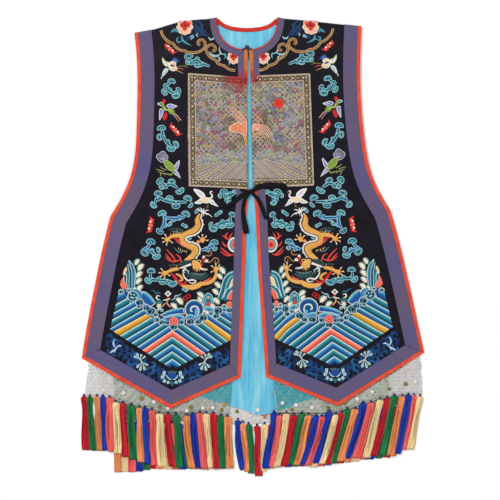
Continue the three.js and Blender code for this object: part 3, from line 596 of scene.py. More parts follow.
def ring_faces(rows, count, capped=True):
    """The faces of a tube whose rows are closed rings of count points."""
    faces = []
    for start in range(0, (rows - 1) * count, count):
        for k in range(count):
            a, b = start + k, start + (k + 1) % count
            faces.append([a, b, b + count, a + count])
    if capped:
        faces.append(list(range(count))[::-1])
        faces.append([(rows - 1) * count + k for k in range(count)])
    return faces


class Batch:
    """Collects small forms into one mesh, with a colour and the lay of the thread at each point."""

    def __init__(self):
        self.vertices, self.faces, self.tints, self.lays = [], [], [], []

    def add(self, vertices, faces, tints, lays=None):
        start = len(self.vertices)
        self.vertices += vertices
        self.faces += [[start + i for i in face] for face in faces]
        self.tints += tints if isinstance(tints, list) else [tints] * len(vertices)
        self.lays += lays or [v.x for v in vertices]

    def tube(self, points, radii, tint, sides=5, flat=1.0):
        """A tapered strand along 3-D points, closed at both ends. tint may be a list, by point."""
        vertices, lays = [], []
        last = len(points) - 1
        gone = 0.0
        for i, point in enumerate(points):
            gone += (point - points[max(i - 1, 0)]).length
            along = points[min(i + 1, last)] - points[max(i - 1, 0)]
            aside = Vector((-along.y, along.x, 0))
            aside = aside.normalized() if aside.length > 1e-9 else Vector((1, 0, 0))
            up = along.cross(aside).normalized()
            up = -up if up.z < 0 else up
            radius = radii[i] if hasattr(radii, "__len__") else radii
            for k in range(sides):
                turn = 2 * math.pi * k / sides
                offset = aside * math.cos(turn) * radius + up * math.sin(turn) * radius * flat
                vertices.append(point + offset)
                lays.append(gone + 0.8 * radius * math.cos(turn))
        if isinstance(tint, list):
            tint = [colour for colour in tint for _ in range(sides)]
        self.add(vertices, ring_faces(last + 1, sides), tint, lays)

    def ball(self, centre, radius, tint, flat=0.8, sides=8, rings=4):
        """A ball, or a flatter one."""
        vertices, faces = [], []
        for r in range(1, rings):
            tilt = math.pi * r / rings
            for k in range(sides):
                turn = 2 * math.pi * k / sides
                vertices.append(centre + Vector((
                    radius * math.sin(tilt) * math.cos(turn),
                    radius * math.sin(tilt) * math.sin(turn),
                    radius * flat * math.cos(tilt))))
        for r in range(rings - 2):
            for k in range(sides):
                a, b = r * sides + k, r * sides + (k + 1) % sides
                faces.append([a, a + sides, b + sides, b])
        top = len(vertices)
        vertices += [centre + Vector((0, 0, radius * flat)), centre - Vector((0, 0, radius * flat))]
        low = (rings - 2) * sides
        for k in range(sides):
            faces.append([top, k, (k + 1) % sides])
            faces.append([top + 1, low + (k + 1) % sides, low + k])
        self.add(vertices, faces, tint)

    def build(self, name):
        piece = mesh_object(name, self.vertices, self.faces)
        colours = piece.data.color_attributes.new("Tint", "FLOAT_COLOR", "POINT")
        seen = {tint: linear(tint) for tint in set(self.tints)}
        colours.data.foreach_set("color", [c for tint in self.tints for c in seen[tint]])
        lay = piece.data.attributes.new("Lay", "FLOAT", "POINT")
        lay.data.foreach_set("value", self.lays)
        return piece


# ---- Nets of knotted cord ----
NET_PITCH = 5.7 * MM
NET_CORD = 1.22 * MM
NET_SLANT = 1.15  # rise of a cord for each unit across
NET_LIFT = 0.5 * MM
NET_FLOOR = 0.9 * MM  # the lowest that a cord's middle lies
NET_STEP = 4 * MM  # between a cord's points
NET_SLICE = 2 * MM  # between the slices that give a net's outline
NET_EDGE = (214, 206, 180)
KNOT_RADIUS = 0.95 * MM
# The cords' shades: pale where the net is single, grey and green where the net is double, which is painted
# shade of the doubled layers, teal where it has taken the lining's dye. The back's net is darker where the
# fronts' nets lie over it: painted shade under them.
NET_PALE = [(250, 249, 246), (240, 240, 234), (246, 240, 240)]
NET_DOUBLED_SHADE = [(226, 230, 220), (196, 208, 190), (206, 210, 204), (234, 238, 230)]
NET_TEAL = [(120, 204, 210), (92, 188, 198)]
NET_UNDER_SHADE = [(150, 158, 132), (170, 172, 152), (132, 142, 118)]
DOUBLE = (-139, 136)  # x on the grid between which the fronts' nets lie over the back's
PEARL = (238, 226, 222)
DISC = (146, 128, 66)
AMBER = (204, 150, 80)
# Beads strung on the nets: [x, y, colour] on the grid
BEADS = {
    "left": [
        (-149, -143.5, PEARL), (-129, -146, PEARL), (-111, -151.5, DISC), (-99, -155, PEARL),
        (-93, -159.5, DISC), (-85, -161.5, PEARL), (-66, -164, PEARL), (-62, -160, DISC),
        (-50, -161, PEARL), (-40, -160.5, PEARL), (-31, -163, DISC),
    ],
    "right": [
        (29.5, -156, PEARL), (39, -162.6, DISC), (43, -158, PEARL), (59, -160.5, PEARL), (75, -160.5, DISC),
        (92, -156, DISC), (104, -152, PEARL), (119, -145, PEARL), (136, -142, DISC), (152.5, -137, DISC),
        (162, -135, PEARL),
    ],
    "back": [(-29, -157, AMBER), (-16, -164.5, DISC), (-3, -169, PEARL), (11.5, -170, AMBER),
             (5, -163, PEARL)],
}


def node_ranges(node):
    """The lowest and highest y of a node's solid at each x, by slicing its mesh."""
    mesh = NODES[node].data
    places = [v.co for v in mesh.vertices]
    low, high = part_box(node)
    count = int((high[0] - low[0]) / NET_SLICE) + 1
    bottoms, tops = [1e9] * (count + 1), [-1e9] * (count + 1)
    for edge in mesh.edges:
        a, b = (places[i] for i in edge.vertices)
        if a.x > b.x:
            a, b = b, a
        first = max(0, math.ceil((a.x - low[0]) / NET_SLICE))
        last = min(count, math.floor((b.x - low[0]) / NET_SLICE))
        for i in range(first, last + 1):
            x = low[0] + i * NET_SLICE
            share = (x - a.x) / (b.x - a.x) if b.x > a.x else 0
            y = a.y + (b.y - a.y) * share
            bottoms[i] = min(bottoms[i], y)
            tops[i] = max(tops[i], y)

    def span(x):
        i = min(max(int(round((x - low[0]) / NET_SLICE)), 0), count)
        return bottoms[i], tops[i]

    return low, high, span


def net_tint(side, x, y, choice, lining):
    """A cord's colour at a place, in metres."""
    gx = x / GRID
    if side == "back":
        # The back's net under the fronts' and the fronts' nets over the back's are laid in darker: painted
        # shade of the doubled net.
        tints = NET_UNDER_SHADE if abs(gx + 4) > 26 else NET_PALE
    elif not DOUBLE[0] < gx < DOUBLE[1]:
        tints = NET_PALE
    else:
        tints = NET_TEAL if lining.height(x, y) > 0 else NET_DOUBLED_SHADE
    return tints[choice % len(tints)]


class Net:
    """Two sets of slanting cords on a net's solid, with knots, an edging cord and beads."""

    def __init__(self, side, lining):
        self.side = side
        self.lining = lining
        self.draw = random.Random(side)
        self.low, self.high, self.span = node_ranges(f"{side}_net")
        self.surface = Surface(NODES[f"{side}_net"])
        self.batch = Batch()

    def level(self, x, y):
        return self.surface.height(x, y, NET_LIFT) - NET_LIFT

    def tint(self, x, y, choice):
        return net_tint(self.side, x, y, choice, self.lining)

    def cord(self, x0, slant):
        """Lays one cord from the net's lower edge up, wherever it crosses the net."""
        low, high = self.low, self.high
        runs, run = [], []
        y = low[1]
        choice = self.draw.randrange(12)
        while y <= high[1] + NET_STEP:
            x = x0 + slant * (y - low[1]) / NET_SLANT
            bottom, top = self.span(x) if low[0] <= x <= high[0] else (1, -1)
            if bottom <= y <= top:
                z = max(self.level(x, y) + slant * 0.1 * MM, NET_FLOOR)
                run.append(Vector((x + self.draw.uniform(-0.4, 0.4) * MM, y, z)))
            else:
                runs.append(run)
                run = []
            y += NET_STEP
        for run in [*runs, run]:
            if len(run) > 1:
                tints = [self.tint(p.x, p.y, choice) for p in run]
                self.batch.tube(run, NET_CORD, tints, sides=4, flat=0.8)

    def cords(self):
        reach = (self.high[1] - self.low[1]) / NET_SLANT
        for slant in (1, -1):
            x0 = self.low[0] - (reach if slant > 0 else 0)
            while x0 < self.high[0] + (reach if slant < 0 else 0):
                self.cord(x0, slant)
                x0 += NET_PITCH

    def shaded_knots(self):
        """A knot at each crossing, laid in dark as painted shade: it stands in for the shadowed holes of the
        net.
        """
        low, high = self.low, self.high
        rise = NET_SLANT * NET_PITCH / 2
        for row in range(int((high[1] - low[1]) / rise) + 1):
            y = low[1] + row * rise
            for column in range(int((high[0] - low[0]) / NET_PITCH) + 1):
                x = low[0] + (column + 0.5 * (row % 2)) * NET_PITCH
                bottom, top = self.span(x)
                if x < high[0] - 2 * MM and bottom + MM < y < top - MM:
                    tint = self.tint(x, y, row + column)
                    # Painted shade: the knots are darkened to stand in for the net's shadowed holes.
                    tint = shade(tint, self.draw.uniform(0.5, 0.64) * (1.25 if tint in NET_PALE else 1.0))
                    z = max(self.level(x, y), NET_FLOOR) + NET_FLOOR
                    self.batch.ball(Vector((x, y, z)), KNOT_RADIUS, tint, flat=0.7, sides=5, rings=3)

    def edging(self):
        edge = []
        for x in np.arange(self.low[0] + 2 * MM, self.high[0] - 2 * MM, 6 * MM):
            y = self.span(x)[0]
            edge.append(Vector((x, y, self.surface.height(x, y + MM, MM))))
        self.batch.tube(edge, 1.1 * MM, NET_EDGE, sides=5)

    def beads(self):
        """Large beads: pearls with a painted highlight, and discs with a dark spot of painted shade for the
        hole.
        """
        for x, y, tint in BEADS[self.side]:
            x, y = x * GRID, y * GRID
            centre = Vector((x, y, self.surface.height(x, y, 3 * MM) + 1.6 * MM))
            self.batch.ball(centre, self.draw.uniform(1.8, 2.2) * GRID, tint, flat=0.5, sides=12, rings=6)
            if tint == PEARL:
                # A painted highlight: a small pale ball on the pearl.
                light = centre + Vector((-0.4 * GRID, 0.5 * GRID, 1.7 * MM))
                self.batch.ball(light, 0.8 * GRID, shade(tint, 1.6))
            else:
                # The hole as a dark ball on the disc: painted shade.
                self.batch.ball(centre + Vector((0, 0, 1.6 * MM)), 0.8 * GRID, shade(tint, 0.55), flat=0.6)


def build_net(side, lining):
    net = Net(side, lining)
    net.cords()
    net.shaded_knots()
    net.edging()
    net.beads()
    return finish_piece(net.batch.build(f"{side}_knotted_net"), "net", "net", f"{side}_net")


# ---- Tassels ----
TASSEL_COLOURS = {
    "red": (200, 14, 34), "green": (14, 112, 56), "orange": (244, 146, 84),
    "blue": (10, 46, 168), "salmon": (250, 98, 92), "cream": (252, 220, 160),
}
NAVY_KNOT = (28, 44, 128)
# x of each head on the grid and the y of its top, from left to right, with its colour
LEFT_HEADS = [
    (-169, -149, "red"), (-163, -149.5, "green"), (-156, -149, "orange"), (-150, -149, "blue"),
    (-143, -150, "salmon"), (-137, -154.5, "cream"), (-130, -155.5, "red"), (-121.5, -157.5, "green"),
    (-113.5, -160, "orange"), (-108, -160.5, "blue"), (-101, -162.5, "salmon"), (-93.5, -166, "cream"),
    (-85, -166.5, "red"), (-77, -167, "green"), (-66, -168, "orange"), (-60, -166.5, "blue"),
    (-53, -165.5, "salmon"), (-46.5, -166, "cream"), (-40, -166, "red"), (-32, -168, "green"),
    (-25.5, -169, "orange"),
]
RIGHT_HEADS = [
    (21, -165, "blue"), (26.5, -167.5, "salmon"), (33.5, -166, "cream"), (41, -167.5, "red"),
    (49, -166, "green"), (55.5, -167.5, "orange"), (63, -168.5, "blue"), (69, -169, "salmon"),
    (76, -164, "blue"), (83, -167, "cream"), (88.5, -165, "red"), (94, -161.5, "green"),
    (102, -161.5, "orange"), (110, -155.5, "blue"), (118, -155, "salmon"), (127, -152, "cream"),
    (134, -150.5, "red"), (141, -148, "green"), (149, -148.5, "orange"), (155, -147.5, "blue"),
    (161, -148, "salmon"), (167, -149, "cream"),
]
CENTRE_HEADS = [
    (-15, -173, "blue"), (-10, -175.5, "orange"), (-4.5, -177, "green"), (4, -178.5, "red"),
    (11.5, -177, "cream"),
]
# Lean of the tassels along the rows: [x, how far the end lies to the right]
LEANS = [(-172, 3), (-125, 2), (-50, 5), (-28, 1), (-14, 5), (-2, 4), (6, 2), (20, -7), (45, -12),
         (110, -16), (140, -13), (170, -10)]
TASSEL_ENDS = [(-172, -202), (-140, -203), (-128, -211), (-95, -219), (-20, -221), (4, -228.5),
               (20, -220), (45, -217), (95, -216), (112, -211), (150, -207), (170, -200)]
# Down a tassel: [share of its length, half width on the grid, thickness in millimetres]
TASSEL_FORM = [(0.0, 0.9, 1.2), (0.025, 2.6, 3.0), (0.06, 3.2, 3.8), (0.12, 3.0, 3.4), (0.2, 2.8, 3.0),
               (0.35, 3.0, 3.0), (0.5, 3.3, 2.8), (0.65, 3.5, 2.6), (0.8, 3.7, 2.4), (0.92, 3.8, 2.1),
               (1.0, 3.6, 1.5)]
TASSEL_SIDES = 22
LOOSE_STRANDS = 9
STRAND_STEPS = 8
FRAYED_ENDS = 12
# Some heads show their loop's hole as a dark slit: painted shade.
HOLES = 0.55  # share of the heads whose loop shows its hole
TASSEL_HALF = [(share, wide) for share, wide, _ in TASSEL_FORM]
TASSEL_THICKNESS = [(share, thick) for share, _, thick in TASSEL_FORM]


class Tassel:
    """A navy knot, a round head of looped floss and a soft skirt with some loose strands."""

    def __init__(self, batch, draw, x, y, colour, level, end_y, lean):
        self.batch = batch
        self.draw = draw
        self.tint = TASSEL_COLOURS[colour]
        self.top = Vector((x * GRID, y * GRID, level))
        self.level = level
        self.reach = (y - end_y) * GRID
        self.lean = lean
        self.phase = draw.uniform(0, 6)
        self.sway = draw.uniform(0.5, 1.3)
        self.stout = draw.uniform(1.04, 1.26)

    def make(self):
        knot = self.top + Vector((0, 0.9 * GRID, 2.2 * MM))
        self.batch.ball(knot, 1.25 * GRID, NAVY_KNOT, flat=0.6, sides=7)
        self.skirt()
        for _ in range(LOOSE_STRANDS):
            self.strand()
        for k in range(FRAYED_ENDS):
            self.frayed_end(2 * (k + 0.5) / FRAYED_ENDS - 1)
        if self.draw.random() < HOLES:
            self.hole_shadow()

    def middle(self, t):
        """The place of the tassel's middle at a share of its length."""
        drift = self.lean * t ** 1.25 + self.sway * math.sin(4.2 * t + self.phase) * min(1.0, 3 * t)
        return self.top.x + drift * GRID, self.top.y - self.reach * t

    def skirt(self):
        """The head and the skirt in one, with a ridge of floss at each corner of its round."""
        draw, sides = self.draw, TASSEL_SIDES
        vertices, tints, lays = [], [], []
        hues = [shade(self.tint, draw.uniform(0.82, 1.12)) for _ in range(sides)]
        ridges = [draw.uniform(0.86, 1.08) for _ in range(sides)]
        drops = [draw.uniform(-0.012, 0.02) for _ in range(sides)]
        stations = curve(TASSEL_FORM, steps=2)
        for row, (t, wide, thick) in enumerate(stations):
            for k in range(sides):
                turn = 2 * math.pi * k / sides
                x, y = self.middle(t + drops[k] * t)
                ridge = ridges[(k + row // 7) % sides]
                aside = math.cos(turn) * wide * self.stout * GRID * (0.94 + 0.06 * ridge)
                lift = (0.5 + 0.5 * math.sin(turn) * ridge) * thick * MM + 0.3 * MM
                vertices.append(Vector((x + aside, y, self.level + lift)))
                # The narrow top under the knot is laid in darker: painted shade under the knot.
                tints.append(hues[(k + row // 8) % sides] if t > 0.02 else shade(self.tint, 0.7))
                lays.append(math.cos(turn) * wide * GRID)
        self.batch.add(vertices, ring_faces(len(stations), sides), tints, lays)

    def strand(self):
        """A loose strand that lies on the skirt for a part of its length."""
        draw = self.draw
        aside = draw.uniform(-0.95, 0.95)
        first, last = draw.uniform(0.04, 0.4), draw.uniform(0.7, 1.03)
        bend, turn = draw.uniform(-0.5, 0.5), draw.uniform(0, 6)
        crown = math.sqrt(1 - aside * aside)
        points = []
        for step in range(STRAND_STEPS):
            t = first + (last - first) * step / (STRAND_STEPS - 1)
            x, y = self.middle(t)
            x += (aside * between(TASSEL_HALF, t) + bend * math.sin(5 * t + turn)) * GRID
            lift = 0.75 + (0.5 + 0.5 * crown) * between(TASSEL_THICKNESS, t)
            points.append(Vector((x, y, self.level + lift * MM)))
        radius = draw.uniform(0.35, 0.6) * MM
        radii = [radius * 0.6] + [radius] * (STRAND_STEPS - 2) + [radius * 0.3]
        self.batch.tube(points, radii, shade(self.tint, draw.uniform(0.62, 1.3)), sides=3)

    def frayed_end(self, aside):
        draw = self.draw
        x, y = self.middle(0.97)
        x += aside * 3.5 * GRID
        ends = [Vector((x, y, self.level + 1.3 * MM)),
                Vector((x + draw.uniform(-0.5, 0.5) * GRID, y - self.reach * 0.04, self.level + 1.0 * MM)),
                Vector((x + draw.uniform(-0.9, 0.9) * GRID, y - self.reach * draw.uniform(0.035, 0.065),
                        self.level + 0.8 * MM))]
        self.batch.tube(ends, [0.75 * MM, 0.6 * MM, 0.2 * MM], shade(self.tint, draw.uniform(0.7, 1.12)),
                        sides=3)

    def hole_shadow(self):
        """The hole of the loop, as a dark slit below the head: painted shade that stands in for the opening.
        """
        x, y = self.middle(0.085)
        slit = [Vector((x + s * 0.35 * GRID, y - s * 1.2 * GRID, self.level + 3.95 * MM)) for s in (-1, 0, 1)]
        self.batch.tube(slit, [0.2 * MM, 0.6 * MM, 0.2 * MM], shade(self.tint, 0.3), sides=4, flat=0.6)


BACK_ROW_LEVEL = 0.2 * MM
FRONT_ROW_LEVEL = 4.0 * MM
BACK_COLOURS = ["orange", "cream", "salmon", "blue", "green", "red"]
# The back's tassels under the fronts' end a little lower: [x, y]
BACK_ENDS = [(-140, -225), (-100, -222), (-60, -221.5), (60, -219), (97, -214.5), (130, -209.5), (155, -207)]
LOW_BEYOND = (-147, 157)  # the fronts' tassels beyond these lie on the floor
HIDDEN_HEADS = [*range(-137, -18, 7), *range(19, 154, 7)]


def build_tassels():
    rows = {}
    draw = random.Random(7)
    for side, heads in (("left", LEFT_HEADS), ("right", RIGHT_HEADS)):
        batch = Batch()
        for x, y, colour in heads:
            level = FRONT_ROW_LEVEL if LOW_BEYOND[0] <= x <= LOW_BEYOND[1] else BACK_ROW_LEVEL
            end_y = between(TASSEL_ENDS, x) + draw.uniform(-1, 1)
            Tassel(batch, draw, x, y, colour, level, end_y, between(LEANS, x)).make()
        name = f"{side}_tassel_row"
        rows[name] = finish_piece(batch.build(name), "tassel", "tassel", f"{side}_tassels")
    batch = Batch()
    for x, y, colour in CENTRE_HEADS:
        Tassel(batch, draw, x, y, colour, BACK_ROW_LEVEL, between(TASSEL_ENDS, x), between(LEANS, x)).make()
    span = node_ranges("back_net")[2]
    for i, x in enumerate(HIDDEN_HEADS):
        lean = between(LEANS, x)
        y = span(x * GRID)[0] / GRID - 1.5
        end_y = between(BACK_ENDS, x + lean) + draw.uniform(-1, 1)
        Tassel(batch, draw, x, y, BACK_COLOURS[i % len(BACK_COLOURS)], BACK_ROW_LEVEL, end_y, lean).make()
    rows["back_tassel_row"] = finish_piece(batch.build("back_tassel_row"), "tassel", "tassel", "back_tassels")
    return rows


# ---- Embroidery: raised satin stitch on the finished cloth ----
# What x and its mirrored x add up to at a height, because the two fronts don't lie quite alike: [y, sum]
MIRROR = [(-140, 3), (0, 1.5), (40, -1), (60, -5), (100, -7), (225, -10)]
# How far aside of and above their mirrored place the right front's silks lie at a height. The pull
# begins a little way from the opening, and is whole a further reach on.
MIRROR_PULL = [(-135, -1.5), (-112, -2.2), (-85, -5.5), (-20, -5), (10, -4), (30, -2.5), (60, -1), (75, 2),
               (200, 2), (215, -0.5)]
MIRROR_RISE = [(-140, 3), (-60, 2), (-20, 1.2), (20, 0.6), (60, 0.6), (75, 2.4), (200, 3), (214, 0)]
PULL_START = 14
PULL_REACH = 25
STITCH = 0.4  # height of a layer of stitches, in millimetres
LAYER = 0.28  # from one layer to the next
STITCH_WAY = math.radians(60)  # across the stitches of a filled shape


def spread(values, share):
    """The value at a share of the way through evenly spread ones."""
    if not hasattr(values, "__len__"):
        return values
    place = share * (len(values) - 1)
    i = min(int(place), len(values) - 2)
    return values[i] + (values[i + 1] - values[i]) * (place - i)


def opposite(x, y):
    """The place on the right front of a point of the left one."""
    across = between(MIRROR, y) - x
    share = clamped((across - PULL_START) / PULL_REACH)
    return across + share * between(MIRROR_PULL, y), y + share * between(MIRROR_RISE, y)


def at(x, y, turn=0.0, size=1.0, flip=1):
    """Places local points: flipped, turned by degrees, scaled and moved."""
    c, s = size * math.cos(math.radians(turn)), size * math.sin(math.radians(turn))

    def place(points):
        return [(x + c * px * flip - s * py, y + s * px * flip + c * py) for px, py in points]

    return place


def inward_ways(ring):
    """At each point of a ring that runs anticlockwise, the way to its inside."""
    ways = []
    for i, (x, y) in enumerate(ring):
        before, after = ring[i - 1], ring[(i + 1) % len(ring)]
        both = (Vector((before[1] - y, x - before[0])).normalized()
                + Vector((y - after[1], after[0] - x)).normalized())
        ways.append(both / max(both.length_squared / 2, 0.6))
    return ways


class Embroidery(Batch):
    """Stitches on a surface, in grid places, mirrored for the right front."""

    def __init__(self, surface, mirrored=False):
        super().__init__()
        self.surface = surface
        self.mirrored = mirrored

    def turned(self, points):
        return [opposite(x, y) for x, y in points] if self.mirrored else list(points)

    def spot(self, x, y, lift):
        x, y = x * GRID, y * GRID
        return Vector((x, y, self.surface.height(x, y, self.surface.level) + lift * MM))

    def fill(self, outline, tint, rim=None, rim_wide=0.75, layer=0, smooth=3):
        """A raised shape with soft sides, its stitches all running one way."""
        ring = self.turned(curve(outline, True, smooth))
        area = sum(a[0] * b[1] - b[0] * a[1] for a, b in zip(ring, ring[1:] + ring[:1]))
        if area < 0:
            ring.reverse()
        base = LAYER * layer
        # Without a rim, the foot of the shape is laid in darker: painted shade on its low sides.
        rows = [(0.0, base + 0.03, rim or shade(tint, 0.7)), (0.18, base + 0.8 * STITCH, rim or tint)]
        if rim:
            rows += [(rim_wide, base + STITCH, rim), (rim_wide + 0.2, base + STITCH, tint)]
        else:
            rows += [(0.5, base + STITCH, tint)]
        inward = inward_ways(ring)
        cos, sin = math.cos(STITCH_WAY), math.sin(STITCH_WAY)
        vertices, tints, lays = [], [], []
        for inset, lift, colour in rows:
            for (x, y), way in zip(ring, inward):
                px, py = x + way.x * inset, y + way.y * inset
                vertices.append(self.spot(px, py, lift))
                tints.append(colour)
                lays.append((px * cos + py * sin) * GRID)
        faces = ring_faces(len(rows), len(ring), capped=False)
        first = (len(rows) - 1) * len(ring)
        flat = [Vector((v.x, v.y, 0)) for v in vertices[first:]]
        for triangle in tessellate_polygon([flat]):
            a, b, c = (flat[i] for i in triangle)
            if (b - a).cross(c - a).z < 0:
                triangle = triangle[::-1]
            faces.append([first + i for i in triangle])
        self.add(vertices, faces, tints, lays)

    def stroke(self, points, wide, tint, rim=None, layer=0, smooth=4):
        """A raised line, as wide as the values spread along it, its stitches slanting across it."""
        path = self.turned(curve(points, False, smooth))
        base = LAYER * layer
        if rim:
            section = [(-1, 0.03, rim), (-0.86, 0.8, rim), (-0.58, 1, rim), (-0.5, 1, tint),
                       (0.5, 1, tint), (0.58, 1, rim), (0.86, 0.8, rim), (1, 0.03, rim)]
        else:
            # Without a rim, both edges are laid in darker: painted shade on the line's low sides.
            section = [(-1, 0.03, shade(tint, 0.75)), (-0.7, 0.85, tint), (0, 1, tint), (0.7, 0.85, tint),
                       (1, 0.03, shade(tint, 0.75))]
        vertices, tints, lays = [], [], []
        last = len(path) - 1
        gone = 0.0
        for i, (x, y) in enumerate(path):
            gone += math.dist((x, y), path[max(i - 1, 0)])
            along = heading(path, i)
            half = max(spread(wide, i / last) / 2, 0.05)
            for share, lift, colour in section:
                px, py = x + along.y * half * share, y - along.x * half * share
                vertices.append(self.spot(px, py, base + lift * STITCH))
                tints.append(colour)
                lays.append((gone + 0.5 * half * share) * GRID)
        width = len(section)
        faces = [[i * width + k, i * width + k + 1, (i + 1) * width + k + 1, (i + 1) * width + k]
                 for i in range(last) for k in range(width - 1)]
        faces += [list(range(width))[::-1], [last * width + k for k in range(width)]]
        self.add(vertices, faces, tints, lays)

    def disc(self, x, y, radius, tint, rim=None, rim_wide=0.6, layer=0, tall=1.0):
        ring = circle(x, y, radius, 10, tall)
        self.fill(ring, tint, rim, rim_wide, layer, smooth=2 if radius > 1.5 else 1)


# Silks by name: deep, main and pale
SILKS = {
    "teal": ((0, 70, 94), (28, 120, 140), (166, 216, 220)),
    "blue": ((8, 76, 132), (50, 130, 176), (170, 214, 232)),
    "navy": ((12, 40, 96), (26, 84, 160), (70, 118, 190)),
    "gold": ((176, 112, 44), (236, 174, 88), (248, 214, 150)),
    "red": ((150, 16, 28), (214, 40, 42), (242, 110, 92)),
    "coral": ((206, 62, 50), (246, 108, 86), (252, 184, 156)),
    "white": ((176, 178, 186), (240, 234, 224), (252, 250, 246)),
    "cream": ((190, 150, 110), (242, 216, 176), (252, 240, 214)),
    "green": ((66, 90, 36), (132, 158, 66), (190, 204, 126)),
    "pine": ((16, 36, 40), (38, 66, 70), (86, 118, 116)),
    "olive": ((70, 66, 36), (122, 116, 66), (172, 166, 110)),
    "violet": ((58, 60, 140), (112, 122, 196), (190, 200, 236)),
    "tan": ((120, 78, 40), (190, 140, 84), (226, 184, 128)),
    "ink": ((8, 26, 58), (20, 52, 92), (52, 98, 138)),
    "foam": ((84, 164, 176), (150, 206, 212), (206, 232, 232)),
}
DARK = (20, 16, 26)


def cloud_head(stitch, x, y, turn, size, silk, kind=0):
    """A head like a mushroom's cap, turned the way that the cap faces. The kinds differ in shade."""
    deep, main, pale = SILKS[silk]
    ground = (blend(main, pale, 0.28), main, blend(main, deep, 0.4))[kind % 3]
    place = at(x, y, turn - 90, size)
    cap = [(-4.2, 0.2), (-3.9, 2.2), (-2.4, 3.8), (0, 4.3), (2.4, 3.8), (3.9, 2.2), (4.2, 0.2), (3.2, -0.9),
           (1.8, -0.4), (0, -1.2), (-1.8, -0.4), (-3.2, -0.9)]
    stitch.fill(place(cap), ground, rim=pale, rim_wide=0.48, layer=1, smooth=2)
    arch = [(-2.5, 0.8), (-1.7, 2.3), (0, 2.9), (1.7, 2.3), (2.5, 0.8)]
    stitch.stroke(place(arch), 0.5, pale if kind % 2 else deep, layer=2, smooth=2)
    inner = [(-1.2, 0.5), (-0.7, 1.5), (0, 1.8), (0.7, 1.5), (1.2, 0.5)]
    stitch.stroke(place(inner), 0.5, deep if kind % 2 else pale, layer=2, smooth=2)


CLOUD_WIDTH = 3.6


def cloud(stitch, silk, body, heads):
    """A ribbon of cloud with lobes along both sides, knots on it and teal heads at its ends."""
    deep, main, pale = SILKS[silk]
    rim = blend(pale, main, 0.1)
    inside = body[1:-1]
    for i, (x, y) in enumerate(inside):
        along = heading(body, i + 1)
        side = 1.3 if i % 2 else -1.3
        lobe = blend(main, pale, 0.3) if i % 2 else main
        stitch.disc(x - along.y * side, y + along.x * side, 2.5, lobe, rim=rim, rim_wide=0.45)
    outer = [share * CLOUD_WIDTH for share in (0.6, 1, 0.8, 1, 0.6)]
    stitch.stroke(body, outer, main, rim=rim)
    inner = [0.4, 0.42 * CLOUD_WIDTH, 0.3 * CLOUD_WIDTH, 0.42 * CLOUD_WIDTH, 0.4]
    stitch.stroke(body, inner, blend(deep, main, 0.25), layer=1)
    for i, (x, y) in enumerate(inside):
        if i % 2 == 0:
            stitch.disc(x, y, 1.0, deep, rim=pale, rim_wide=0.35, layer=2)
    for i, (x, y, turn, size) in enumerate(heads):
        cloud_head(stitch, x, y, turn, size, "teal", i + len(body))


# [silk, body, heads as (x, y, turn, size)]
CLOUDS = [
    ("teal", [(-64, 188), (-61, 185), (-56, 186), (-51, 183), (-43, 180)],
     [(-64, 189, 100, 1.05), (-64.5, 184.5, 215, 0.7), (-55.5, 182, 262, 0.8)]),
    ("teal", [(-82, 165), (-86, 160.5), (-84, 155.5), (-78, 153.5), (-76, 156)],
     [(-81.5, 164, 75, 0.95), (-87.5, 155, 215, 0.9), (-77, 152, 275, 1.0), (-75.5, 155.5, 20, 0.85)]),
    ("teal", [(-91, 117), (-89.5, 110.5), (-86, 104), (-81, 100)],
     [(-91.3, 117, 95, 1.05), (-92.5, 109.5, 190, 0.85), (-81.5, 99.5, 262, 1.1), (-78, 101.5, 25, 0.95)]),
    ("teal", [(-92, 64), (-87, 61.5), (-81.5, 62.5), (-75, 58.5)],
     [(-92, 64.5, 130, 1.0), (-81.3, 64, 85, 0.9), (-73.5, 57, 300, 1.1), (-91, 60, 235, 0.7)]),
    ("teal", [(-98, 43), (-95, 49), (-86, 45.5), (-77, 44.5), (-66, 44.5)],
     [(-94.5, 52, 95, 1.0), (-83.3, 47.5, 82, 0.9), (-65.5, 47, 70, 1.05), (-77, 42, 270, 1.0),
      (-98.5, 42.5, 225, 0.95), (-63, 42, 320, 0.75)]),
    ("blue", [(-68, 30.5), (-73, 28), (-79, 28.5), (-87, 28), (-89, 22), (-92, 17)],
     [(-90.5, 32, 105, 1.05), (-67.5, 31.5, 65, 1.05), (-92.5, 16.5, 238, 0.95), (-84, 23.5, 320, 0.75)]),
    ("teal", [(-31.5, 53.5), (-27, 51.5), (-22, 51.5), (-18.5, 54.5)],
     [(-29, 53.5, 92, 1.0), (-32.5, 51, 210, 0.6), (-18.5, 54, 60, 0.7)]),
    ("teal", [(-28, 45), (-25, 47.5), (-21.5, 47.5)], [(-22.5, 45, 250, 0.9)]),
    ("teal", [(-40, 20), (-35.5, 22), (-30, 23.5), (-24, 26), (-22, 30)],
     [(-21, 31, 62, 0.9), (-23.3, 23, 278, 1.05), (-39.5, 19, 255, 1.0), (-41.5, 22, 150, 0.65),
      (-30.5, 20.8, 275, 0.7)]),
    ("blue", [(-51, -3.8), (-46, -1.5), (-41.5, 0), (-38.5, 2.5)],
     [(-38.7, 3, 88, 1.0), (-38.5, -1.5, 300, 0.65)]),
    ("blue", [(-102.5, 3), (-106, -2.5), (-101.5, -5), (-97, -8)],
     [(-102.2, 3.5, 82, 1.1), (-107.5, -5, 230, 1.05), (-96.5, -8.5, 280, 1.0), (-95.5, -3.5, 15, 0.75)]),
    ("teal", [(-102.5, -27), (-101.5, -32), (-94, -33.5), (-85.5, -34), (-80.5, -35.5)],
     [(-101.6, -25.5, 90, 1.0), (-104, -33, 225, 0.95), (-80.5, -35.5, 285, 1.1), (-90.5, -35, 265, 0.7)]),
]
